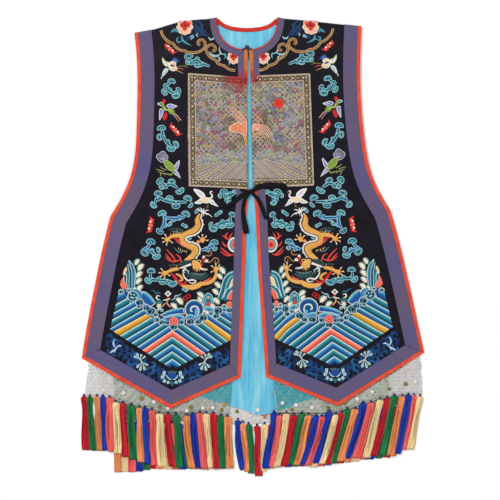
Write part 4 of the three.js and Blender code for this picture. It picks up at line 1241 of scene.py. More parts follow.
# Small clouds in one piece: [x, y, turn, length, silk]
OVALS = [(-34.5, 33, 28, 9, "teal"), (-68.5, 21, -38, 7, "teal"), (-63.2, 8.2, 40, 4.4, "blue"),
         (-55.8, 35.6, 35, 6, "teal"), (-68, -43, -35, 6, "blue"), (-61, 209, 15, 4, "blue")]


def oval(stitch, x, y, turn, long, silk):
    """A small cloud in one piece, with a dark line and an eye in it."""
    deep, main, pale = SILKS[silk]
    place = at(x, y, turn)
    half = long / 2
    ring = [(-half, -0.6), (-half * 0.7, 1.5), (-half * 0.1, 1.6), (half * 0.4, 2.3), (half, 1.6),
            (half * 1.05, 0), (half * 0.6, -1.5), (0, -1.3), (-half * 0.6, -2)]
    stitch.fill(place(ring), blend(main, pale, 0.3), rim=blend(pale, main, 0.1), rim_wide=0.45)
    stitch.stroke(place([(-half * 0.6, -0.2), (0, 0.4), (half * 0.3, 0.2)]), 0.5, deep, layer=1)
    stitch.disc(*place([(half * 0.55, 0.3)])[0], 0.9, deep, rim=pale, rim_wide=0.3, layer=1)


def bat(stitch, x, y, turn, size):
    """A bat in flight, drawn long and narrow, with pale spots on its wings."""
    _, red, rose = SILKS["red"]
    place = at(x, y, turn, size)
    wing = [(-8.2, 3.4), (-7, -0.4), (-5.2, -2.8), (-4.1, -1.4), (-2.8, -3), (-1.4, -1.2), (1.4, -1.2),
            (2.8, -3), (4.1, -1.4), (5.4, -2.8), (7, 0), (8, 3.6), (5.6, 1.7), (3.4, 2.8), (1.7, 1.5),
            (-1.7, 1.5), (-3.4, 2.8), (-5.6, 1.6)]
    stitch.fill(place(wing), red, smooth=2)
    stitch.fill(place([(-1.7, -0.6), (-1.1, 2.3), (1.1, 2.3), (1.7, -0.6), (0, -2.4)]), rose, layer=1)
    for px in (-4.6, 4.6):
        ends = [(px - 1.6, 0.9), (px, -0.2), (px + 1.6, 0.9)]
        stitch.stroke(place(ends), [0.4, 1.0, 0.4], SILKS["coral"][2], layer=1, smooth=2)
    for px, py in ((-3.2, 1.0), (3.2, 1.0)):
        stitch.disc(*place([(px, py)])[0], 1.15 * size, SILKS["cream"][2], layer=1)
    for px in (-0.6, 0.6):
        stitch.disc(*place([(px, 2.1)])[0], 0.45 * size, SILKS["coral"][1], layer=1)


def feathers(stitch, place, root, tips, wide, tint):
    """Tapered feathers from one root."""
    for tip in tips:
        middle = ((root[0] + tip[0]) / 2, (root[1] + tip[1]) / 2 + 0.4)
        stitch.stroke(place([root, middle, tip]), [wide, wide, 0.3], tint, layer=1, smooth=2)


def flying_crane(stitch):
    """The white crane under the shoulder, with its legs and beak to the opening."""
    place = at(-81, 179.5)
    deep, white, pale = SILKS["white"]
    stitch.fill(place([(-9.5, 9.5), (-9.3, 4.5), (-6.2, 0.5), (-1.5, 1.5), (-3, 4.8), (-6, 5.8)]), white,
                rim=SILKS["green"][2], rim_wide=0.5)
    stitch.fill(place([(-10.8, -12), (-8.8, -4), (-5.5, -0.8), (-3.2, -2.5), (-5.5, -6.5), (-9.8, -10.5)]),
                white, rim=SILKS["teal"][2], rim_wide=0.5)
    feathers(stitch, place, (-4.5, -1.5), [(-10, -10), (-8.5, -10.2), (-7, -8.4)], 0.6, deep)
    feathers(stitch, place, (-4, 2), [(-9, 8), (-7.6, 7), (-6.2, 5.6)], 0.6, deep)
    fan = SILKS["navy"][2]
    feathers(stitch, place, (0.5, 4.5), [(2.5, 9.8), (4.3, 9.3), (6, 8.2), (7.4, 7), (8, 5.4)], 1.1, fan)
    body = [(-3.5, 1.5), (-1.5, 5.2), (2.2, 6), (4.4, 4), (4, 0.8), (5.6, -1), (4.2, -3.6), (0.5, -4.2),
            (-2.5, -2.2)]
    stitch.fill(place(body), SILKS["cream"][1], rim=pale, rim_wide=0.5, layer=1)
    patch = [(-1.4, 2.2), (0.6, 2.6), (2.6, 0.8), (1.6, -0.4), (0.4, 0.6), (-1.2, 0.8)]
    stitch.fill(place(patch), SILKS["violet"][0], layer=2, smooth=2)
    stitch.stroke(place([(2.4, 3.6), (3.2, 1.6), (3.4, -0.4)]), [0.3, 0.7, 0.3], SILKS["tan"][1], layer=2)
    stitch.stroke(place([(-1, -2), (1.4, -3), (3.6, -2.6)]), [0.4, 0.8, 0.4], SILKS["white"][0], layer=2)
    stitch.stroke(place([(4, -3.2), (8, -4.8), (11.8, -6.6)]), [1.2, 0.9, 0.3], SILKS["tan"][1], layer=1)
    stitch.stroke(place([(4.5, -1.4), (9, -1.6), (12.5, -3)]), [0.8, 0.6, 0.3], SILKS["red"][2], layer=1)
    for tip in ((14.5, 1.2), (16.3, -0.6), (15.8, 2.6)):
        stitch.stroke(place([(6, 0.4), (11, 0.8), tip]), [0.7, 0.8, 0.5], SILKS["olive"][1], layer=1)


def standing_crane(stitch):
    """The pale crane over the dragon, wings spread and neck raised."""
    deep, white, pale = SILKS["white"]
    place = at(-48, 47)
    stitch.fill(place([(-11.5, 10.5), (-7, 10.2), (-2, 7.4), (0.4, 3.8), (-1.6, 1.4), (-5.4, 2.6),
                       (-8.6, 6)]),
                white, rim=pale, rim_wide=0.5)
    feathers(stitch, place, (-1.6, 3.4), [(-9.5, 9), (-7.6, 8.4), (-6.6, 5.8), (-4.8, 4.6)], 0.6,
             SILKS["violet"][2])
    stitch.fill(place([(-10.5, -3.2), (-6.5, -0.4), (-4, 1.2), (-1.6, -1), (-3.6, -4), (-7.5, -4.3)]), white,
                rim=pale, rim_wide=0.5)
    feathers(stitch, place, (-2.4, -0.8), [(-8.4, -3.2), (-6.6, -3.8), (-4.8, -3.8)], 0.5, deep)
    stitch.fill(place([(4, -1.6), (7.6, 0.2), (9.8, -2.6), (13.6, -7), (9.4, -5.8), (5.6, -4)]), white,
                rim=pale, rim_wide=0.5)
    feathers(stitch, place, (6, -1.4), [(12, -6), (9.6, -5.2), (7.8, -4.4)], 0.6, SILKS["violet"][2])
    body = [(-4.6, 0.6), (-2.6, 2.8), (1.4, 2.4), (4.4, 1.8), (5.6, 0), (4.6, -2.6), (1.2, -3.8),
            (-2.4, -2.6)]
    stitch.fill(place(body), SILKS["cream"][1], rim=pale, rim_wide=0.5, layer=1)
    stitch.stroke(place([(4.4, 0.4), (6.8, 2.4), (7.2, 4.6), (5.4, 6.4), (5.8, 8), (7.4, 8)]),
                  [2.6, 2.0, 1.4, 1.3, 1.3, 1.0], white, layer=1)
    stitch.stroke(place([(7, 8), (9.2, 6.8)]), [0.8, 0.3], SILKS["tan"][1], layer=1)
    for tip in ((1.6, -9), (3.6, -8), (0.4, -7.4)):
        stitch.stroke(place([(3.2, -4), (2.9, -6.2), tip]), [0.8, 0.7, 0.4], SILKS["olive"][1])


def long_tailed_bird(stitch):
    """The green bird with streaming tail feathers."""
    place = at(-85, 136)
    green, blue = SILKS["green"], SILKS["violet"]
    stitch.fill(place([(-10.8, 6.6), (-7.6, 8.2), (-4.4, 7.2), (-5, 4.2), (-8, 5)]), SILKS["blue"][1],
                rim=SILKS["white"][1], rim_wide=0.5)
    stitch.fill(place([(-1.6, 4.6), (2, 6.8), (6, 5.8), (9.6, 4.4), (6.4, 2.6), (2.4, 1.4)]), blue[1],
                rim=SILKS["white"][1], rim_wide=0.6)
    stitch.fill(place([(-8, 1.6), (-4.4, 0.6), (-5, -4.4), (-8.4, -10), (-8.6, -4)]), blue[1],
                rim=SILKS["white"][1], rim_wide=0.6)
    feathers(stitch, place, (-5.6, -0.6), [(-8.4, -8.6), (-7.2, -6)], 0.6, blue[2])
    feathers(stitch, place, (1, 3.2), [(8.6, 4.4), (6.4, 5)], 0.6, blue[2])
    for bend, tip, tint in (((8.6, -4.6), (13.4, -10), SILKS["coral"][2]),
                            ((7.2, -6), (11.4, -11.4), SILKS["cream"][0])):
        stitch.stroke(place([(4, -1.6), bend, tip]), [0.8, 0.9, 0.7], tint)
    stitch.stroke(place([(3, -2.4), (6.6, -6.2), (8.6, -8.4)]), [1, 0.8, 0.3], SILKS["navy"][1])
    stitch.fill(place([(-6.4, 7.6), (-4.4, 8), (-2.8, 4), (-1.4, 1.4), (-3, -0.8), (-5.8, 3)]), green[1],
                layer=1)
    stitch.fill(place([(0.2, 2), (3.6, 2.2), (6.4, 0), (6.6, -3.4), (3, -3.8), (0.4, -1)]), green[1], layer=1)
    stitch.stroke(place([(-3.6, 3.6), (-1.6, 0.8), (1.6, 0.2), (4.6, -1.6)]), [1, 1.6, 1.4, 0.5], green[2],
                  layer=2)
    stitch.fill(place([(-5, 10.8), (-2.8, 11.2), (-2, 8.6), (-4, 6.8), (-6.2, 8.4)]), SILKS["red"][1],
                layer=1)
    stitch.fill(place([(-2.4, -1.6), (0, -3.4), (-1.4, -8.6), (-4.6, -10), (-5, -5.4)]), SILKS["red"][1],
                rim=SILKS["red"][0], rim_wide=0.4, layer=1)


def fan_tailed_bird(stitch):
    """The green bird with a spread tail like a fan."""
    place = at(-84, 80)
    green, blue, olive = SILKS["green"], SILKS["violet"], SILKS["olive"]
    fan = [(-8.4, 4.4), (-12.4, 8.6), (-12.2, 11.6), (-9.4, 13.4), (-7, 15.6), (-4.2, 15), (-2.4, 12.2),
           (-0.6, 10.4), (-1.4, 6.6), (-4, 4.4)]
    stitch.fill(place(fan), (112, 92, 96), rim=SILKS["violet"][2], rim_wide=0.5)
    tips = [(-11.4, 8.8), (-10.8, 11.2), (-8.4, 12.6), (-6.4, 14.4), (-3.8, 13.4), (-2, 10.6)]
    feathers(stitch, place, (-4.4, 5.6), tips, 0.6, SILKS["violet"][2])
    feathers(stitch, place, (-4, 6), [(-9.6, 10.4), (-7, 12.8), (-4.6, 12)], 0.6, SILKS["green"][0])
    stitch.fill(place([(4, -2.4), (6.2, 1.8), (10.6, 6.4), (10, 0.4), (7.4, -3.6)]), blue[1],
                rim=SILKS["white"][1], rim_wide=0.6)
    stitch.fill(place([(4.4, -3.6), (8.4, -4.4), (12, -11.6), (8.6, -9.6), (5.2, -7.2)]), blue[1],
                rim=SILKS["white"][1], rim_wide=0.6)
    feathers(stitch, place, (6, -1.6), [(9.8, 4.6), (8.8, 1.6)], 0.6, blue[2])
    feathers(stitch, place, (6.6, -5), [(11.2, -10.4), (8.4, -8.6)], 0.6, blue[2])
    body = [(-5, 6.4), (-1, 6), (3.2, 3), (6.4, -1.4), (5.4, -4.6), (1.6, -4.4), (-2.6, -1.4), (-4.8, 2.6)]
    stitch.fill(place(body), green[1], rim=green[2], rim_wide=0.5, layer=1)
    stitch.stroke(place([(5, -5), (2, -8.2), (-2, -7.2), (-4.6, -8.6)]), [1.4, 1.6, 1.2, 0.6], green[1],
                  layer=1)
    for line in ([(-2.4, -3.6), (-6, -2), (-9, 0.2)], [(-5, -5), (-9, -3.6), (-13, -2.4)],
                 [(-3, -7), (-7, -6.6), (-11.4, -4.6)], [(-8.4, -6.2), (-8, -8.6), (-7.6, -10)]):
        stitch.stroke(place(line), [0.9, 0.8, 0.4], olive[2])


def peony(stitch, x, y, size):
    """Round petals, pale and pink below, and a deep red heart above them."""
    place = at(x, y, 0, size)
    peach, pink, coral, red = (244, 196, 166), SILKS["coral"][2], SILKS["coral"][1], (196, 40, 40)
    for px, py, r, tint in (
            (-5.6, -1, 2.8, peach), (5.4, -0.6, 2.9, peach), (-3.6, -4.6, 2.8, pink), (3.4, -4.8, 2.8, peach),
            (0, -6.2, 2.6, pink), (-4.6, 3.4, 2.6, pink), (4.6, 3.4, 2.7, coral)):
        stitch.disc(*place([(px, py)])[0], r * size, tint, rim=SILKS["cream"][2], rim_wide=0.45)
    for px, py, r, tint in (
            (-2.4, 1.2, 2.6, red), (2.6, 1.4, 2.7, red), (0, -2, 2.5, SILKS["coral"][0]), (0, 3.2, 2.4, red)):
        stitch.disc(*place([(px, py)])[0], r * size, tint, rim=(222, 110, 92), rim_wide=0.35, layer=1)
    stitch.disc(x, y + 0.9 * size, 1.2 * size, SILKS["red"][0], layer=2)


def leaf(stitch, points, wide, silk):
    _, main, pale = SILKS[silk]
    stitch.stroke(points, [0.3, wide, 0.8 * wide, 0.3], main)
    stitch.stroke(points, [0.2, 0.5, 0.2], pale, layer=1)


# [points, width, silk]
LEAVES = [
    ([(-74, 214), (-78, 216.5), (-82, 214)], 4.2, "teal"),
    ([(-59, 225), (-56, 220), (-52, 215), (-48, 211.4), (-43.5, 212)], 5.0, "ink"),
    ([(-57, 226), (-52, 223), (-50.4, 217), (-46, 213.4)], 3.2, "ink"),
    ([(-58, 221), (-57.4, 216.4), (-53.6, 211.6), (-50.4, 211)], 2.4, "ink"),
    ([(-50.6, 216), (-51.4, 220), (-48.6, 222)], 1.8, "ink"),
    ([(-71, 212), (-70.5, 207), (-67, 203.5), (-61, 200.5)], 3.0, "teal"),
    ([(-70, 206), (-74.5, 204), (-76, 207.5), (-73.5, 209)], 1.8, "teal"),
    ([(-66, 205), (-64.5, 209), (-61, 208.5)], 2.4, "ink"),
    ([(-55, 213.4), (-56.4, 211.4), (-54.6, 209.4)], 1.3, "foam"),
    ([(-44.6, 209.4), (-42.6, 207), (-39.6, 207.6), (-39, 210)], 1.9, "foam"),
    ([(-44, 195), (-41, 191.4), (-36.4, 190.4), (-31, 193.4)], 2.6, "foam"),
    ([(-33.6, 200), (-33.4, 196), (-31.4, 192.6), (-27, 192)], 1.5, "foam"),
    ([(-36, 190.4), (-33.4, 188), (-33.6, 185.6), (-36, 186.4)], 1.6, "foam"),
    ([(-28.6, 193.6), (-27.4, 190), (-28.4, 187.6)], 2.8, "teal"),
    ([(-24.4, 186.4), (-23.4, 183.6), (-24.4, 181)], 1.8, "blue"),
    ([(-19, 185), (-17.6, 182.6)], 1.2, "foam"),
]


TOE = 5.2  # length of a dragon's toe
TOE_TURNS = (-75, -28, 15, 62, 130)


def claw(stitch, x, y, turn):
    """A dragon's foot: a gold pad, four spread toes with pale nails, and a spur."""
    gold, pale = SILKS["gold"][1], SILKS["cream"][2]
    place = at(x, y, turn)
    stitch.fill(place([(-2.4, -1.4), (-1.6, 1.6), (1.2, 2.1), (2.6, 0), (1, -2)]), gold, layer=1)
    for toe_turn in TOE_TURNS:
        along = at(0, 0, toe_turn)
        toe = along([(0.8, 0), (0.55 * TOE, 0.5), (TOE, 0)])
        stitch.stroke(place(toe), [1.7, 1.3, 0.8], gold, layer=1)
        nail = along([(TOE - 1, 0), (TOE, 0.2), (TOE + 1, 1.1)])
        stitch.stroke(place(nail), [0.5, 1.3, 0.4], pale, layer=2, smooth=1)


def hairs(stitch, line, way, long, tint, wide=0.9, layer=1):
    """Tapered hairs along a line, leaning one way."""
    for k, (x, y) in enumerate(curve(line, steps=2)):
        reach = long * (0.8 + 0.35 * (k % 3))
        tip = (x + way[0] * reach, y + way[1] * reach)
        stitch.stroke([(x, y), tip], [wide, 0.2], tint, layer=layer, smooth=1)


FLAME_WIDTH = 1.9


def flames(stitch, tongues):
    """Red tongues with a coral side."""
    for points in tongues:
        stitch.stroke(points, [0.5 * FLAME_WIDTH, FLAME_WIDTH, 0.8 * FLAME_WIDTH, 0.25], SILKS["red"][1])
        beside = [(x + 0.35, y + 0.35) for x, y in points]
        stitch.stroke(beside, [0.3, 0.8, 0.6, 0.2], SILKS["coral"][1], layer=1)


# The dragon: rows of [points, widths, silk, shade, layer], from the lowest layer up. The shade is the
# place of the colour among the silk's deep, main and pale.
DRAGON_STROKES = [
    # fins and membranes behind the body
    ([(-83.8, 17.4), (-79, 17.8), (-73, 17.4), (-69, 15)], [0.3, 1.8, 2.6, 1.6], "pine", 1, 0),
    ([(-82, 15.4), (-77, 15), (-72, 13.6)], [0.3, 1.6, 1.4], "pine", 2, 0),
    ([(-79, -0.6), (-76.4, -3.4), (-73.4, -5.6), (-69, -4.4)], [0.3, 1.5, 1.4, 0.4], "pine", 2, 0),
    ([(-79.5, 8.6), (-75, 6.6), (-70, 3.2), (-65, 0)], [0.4, 3.2, 3.4, 0.8], "red", 1, 0),
    ([(-77, 6), (-73, 3.4), (-69.6, 0.8), (-64, -0.8)], [0.3, 1.3, 1.4, 0.5], "coral", 1, 1),
    ([(-84, -19), (-79, -18.4), (-74, -18.8), (-69, -17.6), (-62, -13.8)], [0.3, 1.8, 2, 2.6, 1.2],
     "pine", 1, 0),
    ([(-74, -16.6), (-69, -14.8), (-63, -13.4), (-59.4, -12)], [0.4, 2.4, 3.4, 1], "pine", 1, 0),
    # the coil below the head
    ([(-66.5, -23), (-64, -28), (-58, -30), (-50, -30.6), (-44, -28)], [2, 4.6, 6, 5, 1], "pine", 1, 0),
    ([(-62, -25.6), (-57, -27.4), (-51, -27.6), (-46, -26)], [0.6, 2, 2, 0.6], "pine", 2, 1),
    ([(-82, -25.6), (-78.2, -30.4), (-74.6, -35.4), (-69.6, -37.6), (-66.4, -34.4)], [1, 3, 3.4, 3, 1.2],
     "red", 1, 0),
    ([(-77, -27), (-72.4, -29.4), (-70.6, -33), (-73.6, -34)], [1.4, 2.8, 2.4, 1], "gold", 1, 1),
    ([(-76, -28.6), (-73.2, -30.6), (-72.4, -32.6)], [0.4, 0.8, 0.4], "red", 0, 2),
    ([(-72, -38.6), (-66.6, -40), (-60.6, -40.4), (-54.6, -38.6), (-50.6, -35.8)], [0.8, 4.4, 5.6, 5.4, 3.6],
     "gold", 1, 1),
    ([(-51, -37), (-45, -36), (-39.8, -33.2), (-37, -28.4), (-37, -24)], [4.2, 4, 3.8, 3.2, 2.2],
     "gold", 1, 1),
    ([(-54, -42.2), (-48, -42.6), (-43, -40.6), (-40, -38)], [0.3, 1.4, 1.4, 0.3], "pine", 1, 0),
    ([(-49, -34), (-45.4, -33.4), (-42, -30.4)], [0.6, 1.8, 0.5], "coral", 1, 2),
    ([(-47.6, -35), (-44, -33.6), (-41.2, -32)], [0.3, 0.9, 0.3], "red", 1, 2),
    ([(-70, -26), (-68.6, -30), (-65, -33.6), (-60.6, -33), (-57, -34.4), (-59.4, -36.4), (-64, -35.6)],
     [1, 1.6, 1.8, 1.6, 1.4, 1.2, 0.6], "white", 1, 2),
    # left legs
    ([(-66, 10.6), (-72.3, 11), (-77, 11.2), (-81.6, 10), (-84.6, 7.6)], [5, 4.6, 4.2, 3.4, 2.4],
     "gold", 1, 1),
    ([(-74, -22.2), (-78, -22.4), (-82, -23.6), (-87, -26)], [2.4, 3.6, 3.4, 2.4], "gold", 1, 1),
    # the body from tail to neck
    ([(-53, 33), (-55.4, 27), (-55, 21.4), (-58.2, 16.6), (-64, 13.2), (-69, 10.4), (-69.6, 6), (-65.6, 2.2),
      (-60.4, 0), (-57.4, -3.6), (-59, -8), (-63.6, -11.2), (-68.4, -13.2)],
     [1.6, 5, 5.8, 6.4, 7, 7, 7, 7.2, 7.4, 7.4, 6.8, 4.6, 0.5], "gold", 1, 1),
]
# Paler hairs in the dark manes: [line, way that they lean]
MANES = [
    ([(-83, 16.4), (-78, 17.2), (-72, 16)], (-0.9, 0.5)),
    ([(-78.4, -1.4), (-75, -4.4), (-71, -5.6)], (-0.7, 0.6)),
    ([(-83, -18.8), (-77, -18.6), (-72, -18)], (-0.9, 0.4)),
    ([(-73, -17), (-68, -15), (-62, -13.6)], (-0.8, -0.3)),
    ([(-65.6, -23.6), (-62, -27.6), (-56, -29.2), (-50, -29.8)], (-0.8, 0.6)),
    ([(-62, -27.6), (-57, -31), (-51, -31.6), (-46, -28.6)], (0.7, 0.5)),
]
SPINE = [(-50.6, 33.6), (-52, 29.4), (-50.6, 25), (-50.4, 21.2), (-53.6, 14.8), (-60, 11.2), (-65.4, 9.8),
         (-67.2, 7.4), (-64.6, 5), (-58.6, 3.8), (-54, 1), (-52.8, -3.4), (-54.2, -7.6), (-57.6, -12)]
# [line, way that they lean, length, shade of gold]
BODY_HAIRS = [
    ([(-82, 12), (-75, 13.4), (-70, 13)], (-0.3, 1), 2.4, 1),
    ([(-74, -1), (-70, -3), (-66, -4)], (-0.4, -1), 2.2, 2),
    ([(-82, -21.6), (-76, -20.4)], (-0.3, 1), 2, 1),
]
SCALE_TINT = (214, 146, 64)
TAIL_ROOT = (-50.4, 33.6)
TAIL_TIPS = [(-56.8, 37), (-53.2, 39), (-49, 38.4), (-43.6, 36.4), (-40.4, 29.4), (-45.6, 31.4),
             (-49.2, 30.6)]
WHISKERS = [
    [(-47.4, -8.4), (-43.8, -9.2), (-41.2, -7), (-42.6, -4.4), (-44.6, -5.4), (-43.6, -6.8)],
    [(-45, -16), (-41.4, -14.4), (-38.6, -11.2), (-34.8, -12), (-34.6, -15.6), (-37.4, -16.4), (-38, -14.4),
     (-36.8, -13.6)],
]
# Where the feet are: [x, y, turn]
CLAWS = [(-85, 7.3, 190), (-50.5, 6.5, 70), (-88, -26.3, 200), (-36.8, -22.6, 75)]
DRAGON_HEAD = [(-61, -14.6), (-58.4, -13.2), (-55, -14.6), (-52.2, -17.4), (-51.4, -20.4), (-54, -21.4),
               (-55.6, -24.6), (-57.4, -21.8), (-59.8, -22), (-60.4, -18.6)]
DRAGON_HORN = [(-50.8, -12), (-49.6, -8.6), (-47.8, -9.8), (-47.4, -12), (-44.8, -13), (-44.8, -15),
               (-48, -15.4)]
# Jaws, beard and crest of the head: [points, widths, silk, shade, layer]
HEAD_STROKES = [
    ([(-53.4, -21.4), (-49, -22.6), (-45.4, -22.8)], [1.8, 2.2, 1.2], "white", 1, 2),
    ([(-50, -22.4), (-45.8, -23)], [0.9, 0.5], "red", 2, 3),
    ([(-61.6, -17.4), (-66, -19), (-70, -20.6), (-74, -21.4)], [2.6, 2, 2.2, 0.3], "white", 1, 2),
    ([(-67, -21.4), (-69.6, -24), (-68, -26.4)], [1.6, 1.8, 0.6], "white", 1, 2),
    ([(-68, -22.8), (-64.4, -24.4), (-64.8, -27)], [1.4, 1.2, 0.4], "teal", 2, 2),
]
DRAGON_FLAMES = [
    [(-71.4, -16), (-72.6, -12), (-74, -9.6), (-77.4, -7.6)],
    [(-73, -13.4), (-78, -14.8), (-83, -14), (-87.8, -10.6)],
    [(-77.4, -14.6), (-79.6, -10.6), (-82.6, -7), (-87, -2.6)],
    [(-82, -13.6), (-84.4, -11), (-87.6, -7.4)],
]


def strokes(stitch, rows):
    """Works rows of [points, widths, silk, shade, layer]."""
    for points, wide, silk, tone, layer in rows:
        stitch.stroke(points, wide, SILKS[silk][tone], layer=layer)


def scales(stitch, body):
    """Short rows of darker gold across the body."""
    line = curve(body, steps=5)
    for (x0, y0), (x1, y1) in zip(line[3:-8:2], line[4:-7:2]):
        along = Vector((x1 - x0, y1 - y0)).normalized()
        for aside in (-1.7, 0.2):
            x, y = x0 - along.y * aside, y0 + along.x * aside
            arc = [(x - along.y * k * 0.75 + along.x * (1 - k * k) * 0.6,
                    y + along.x * k * 0.75 + along.y * (1 - k * k) * 0.6) for k in (-1, 0, 1)]
            stitch.stroke(arc, 0.35, SCALE_TINT, layer=2, smooth=1)


def spine(stitch):
    """The white fin along the back, edged in dark silk, with its spikes."""
    white = SILKS["white"][1]
    stitch.stroke(SPINE, 3.2, DARK, layer=2)
    stitch.stroke(SPINE, [1.2, 1.7, 1.7, 1.7, 1.2], white, layer=3)
    line = curve(SPINE, steps=3)
    for (x0, y0), (x1, y1) in zip(line[2::3], line[3::3]):
        along = Vector((x1 - x0, y1 - y0)).normalized()
        tip = (x0 - along.y * 1.9 + along.x * 0.6, y0 + along.x * 1.9 + along.y * 0.6)
        stitch.stroke([(x0, y0), tip], [1.2, 0.2], white, layer=3, smooth=1)


def dragon_head(stitch):
    _, gold, pale = SILKS["gold"]
    stitch.fill(DRAGON_HEAD, gold, layer=2)
    hairs(stitch, [(-59.4, -21), (-56.4, -22.4), (-53.2, -22)], (0, -1), 2.6, gold)
    eye = [(-56.4, -14.6), (-53.6, -13.4), (-51.6, -14.6), (-53, -16.2), (-55, -16)]
    stitch.stroke(eye, 0.7, pale, layer=3)
    stitch.disc(-53.4, -14.8, 0.7, DARK, layer=3)
    stitch.stroke([(-52, -19), (-50.6, -17.6), (-49.8, -15.4)], [1.4, 1.6, 0.8], SILKS["red"][1], layer=2)
    stitch.fill(DRAGON_HORN, SILKS["white"][1], layer=2)
    stitch.disc(-48.8, -12.6, 1.9, SILKS["coral"][0], layer=3)
    strokes(stitch, HEAD_STROKES)


def dragon(stitch):
    strokes(stitch, DRAGON_STROKES)
    for line, way in MANES:
        hairs(stitch, line, way, 2.4, SILKS["pine"][2], wide=0.55, layer=2)
    for line, way, long, tone in BODY_HAIRS:
        hairs(stitch, line, way, long, SILKS["gold"][tone])
    scales(stitch, DRAGON_STROKES[-1][0])
    spine(stitch)
    for x, y in TAIL_TIPS:
        middle = ((x + TAIL_ROOT[0]) / 2 + 0.4, (y + TAIL_ROOT[1]) / 2 + 1.2)
        stitch.stroke([TAIL_ROOT, middle, (x, y)], [1.3, 1.2, 0.3], SILKS["white"][1], layer=2)
    for row in CLAWS:
        claw(stitch, *row)
    stitch.disc(-54.6, 5, 1.8, SILKS["coral"][1])
    for points in WHISKERS:
        stitch.stroke(points, [0.9, 1, 0.8, 0.4], SILKS["tan"][1], layer=1)
    dragon_head(stitch)
    flames(stitch, DRAGON_FLAMES)


PEARL_PLACE = (-17.5, 2.0)
PEARL_END = -14.0  # x at which the band covers it
PEARL_RINGS = [(7.9, SILKS["white"][1]), (6.3, (96, 150, 152)), (4.4, SILKS["red"][2]),
               (2.7, SILKS["red"][1])]
PEARL_FLAMES = [
    [(-22, 6), (-25.4, 7.6), (-27.6, 9), (-31, 11.4)],
    [(-26, 8), (-27.4, 11), (-26.4, 12.6), (-25, 14.2)],
    [(-23.6, 7.4), (-22.6, 10.6), (-20.4, 13.6)],
    [(-24.6, 0.2), (-27.4, 0.6), (-29.4, 2.4), (-31, 5)],
    [(-19, -7.6), (-24, -8.8), (-28.4, -7.8), (-33, -4.4)],
    [(-22, -8.6), (-27, -5.6), (-30, -3), (-32.6, -0.8)],
]


def pearl(stitch):
    """The flaming pearl, which the front's band half hides."""
    for layer, (radius, tint) in enumerate(PEARL_RINGS):
        ring = [(min(x, PEARL_END), y) for x, y in circle(*PEARL_PLACE, radius, 24)]
        stitch.fill(ring, tint, layer=layer, smooth=1)
    flames(stitch, PEARL_FLAMES)


def curl(stitch, x, y, turn, size, flip):
    """A breaking claw of foam: cream and jagged, with a green back."""
    place = at(x, y, turn, 0.87 * size, flip)
    claw_of_foam = [(-3, -3.4), (-3.1, 0), (-1.6, 2.4), (0.8, 3.4), (4.2, 2.6), (2.2, 1.9), (3.8, 0.5),
                    (1.5, 0.6), (2.5, -1.2), (0.5, -0.5), (1.0, -2.5), (-0.4, -1.4), (-0.5, -3.6),
                    (-1.5, -2.2)]
    stitch.fill(place(claw_of_foam), (244, 234, 214), smooth=1)
    back = [(-3.2, -3.2), (-3.4, 0.2), (-1.8, 2.8), (0.8, 3.9), (3.2, 3.3)]
    stitch.stroke(place(back), [0.5, 1.2, 1.3, 1.0, 0.3], (84, 150, 142), layer=1)


# Foam along the rocks and the crest: [x, y, turn, size]
CURLS = [
    (-115.6, -15.6, 10, 1.0), (-112, -20.8, 5, 1.2), (-113.6, -28, 0, 1.15), (-114, -34.6, 0, 1.1),
    (-113, -41.4, 0, 1.1), (-31, -24, -5, 1.2), (-33.4, -30, 0, 1.0), (-35.4, -38.6, 0, 1.1),
    (-37.6, -45.4, 0, 1.1), (-36.6, -54.4, 0, 1.15), (-40.6, -59.4, 0, 1.0), (-52.4, -48.6, 0, 1.15),
    (-53, -53, 0, 0.9), (-46.6, -65.6, 0, 1.0), (-73.4, -54.6, 0, 1.25), (-79, -59.4, 5, 1.1),
    (-93.6, -58.6, 0, 0.8), (-118.4, -43, 20, 0.8),
]
# Bands of colour from a rock's edge to its foot: [points, width, silk, shade]
ROCKS = [
    ([(-128.8, -30.4), (-130.4, -35), (-131.4, -39.4)], 3.4, "coral", 1),
    ([(-126.2, -20.4), (-127.4, -24), (-128.6, -28)], 3.2, "gold", 2),
    ([(-127.2, -24.6), (-125, -29.6), (-125.2, -36), (-125.4, -42)], 5.4, "teal", 1),
    ([(-124.2, -15.4), (-125, -20.4), (-122.8, -25), (-122.2, -33), (-122, -42)], 4.0, "teal", 0),
    ([(-123.8, -14), (-122.6, -19), (-120, -24), (-119.6, -32), (-119.8, -41)], 4.2, "teal", 1),
    ([(-122.4, -16), (-120, -21), (-118.4, -26), (-118.6, -33), (-119, -40.6)], 1.8, "blue", 1),
    ([(-17, -25), (-22, -28), (-25.6, -36), (-28, -46), (-30.6, -53)], 9.0, "teal", 1),
    ([(-15, -30), (-19, -33), (-21.4, -38), (-23, -42)], 6.0, "gold", 2),
    ([(-16, -38.6), (-21, -40.6), (-25, -45), (-28, -52)], 5.4, "teal", 1),
    ([(-15, -43), (-19.6, -46), (-22.6, -49), (-24, -53)], 6.4, "coral", 1),
    ([(-16, -26.4), (-23.4, -29.4), (-27.6, -36), (-30, -45), (-32.6, -51.6)], 1.6, "teal", 0),
    ([(-17, -39.4), (-22.6, -41.4), (-26.4, -45.4), (-29, -51.6)], 1.6, "teal", 0),
]
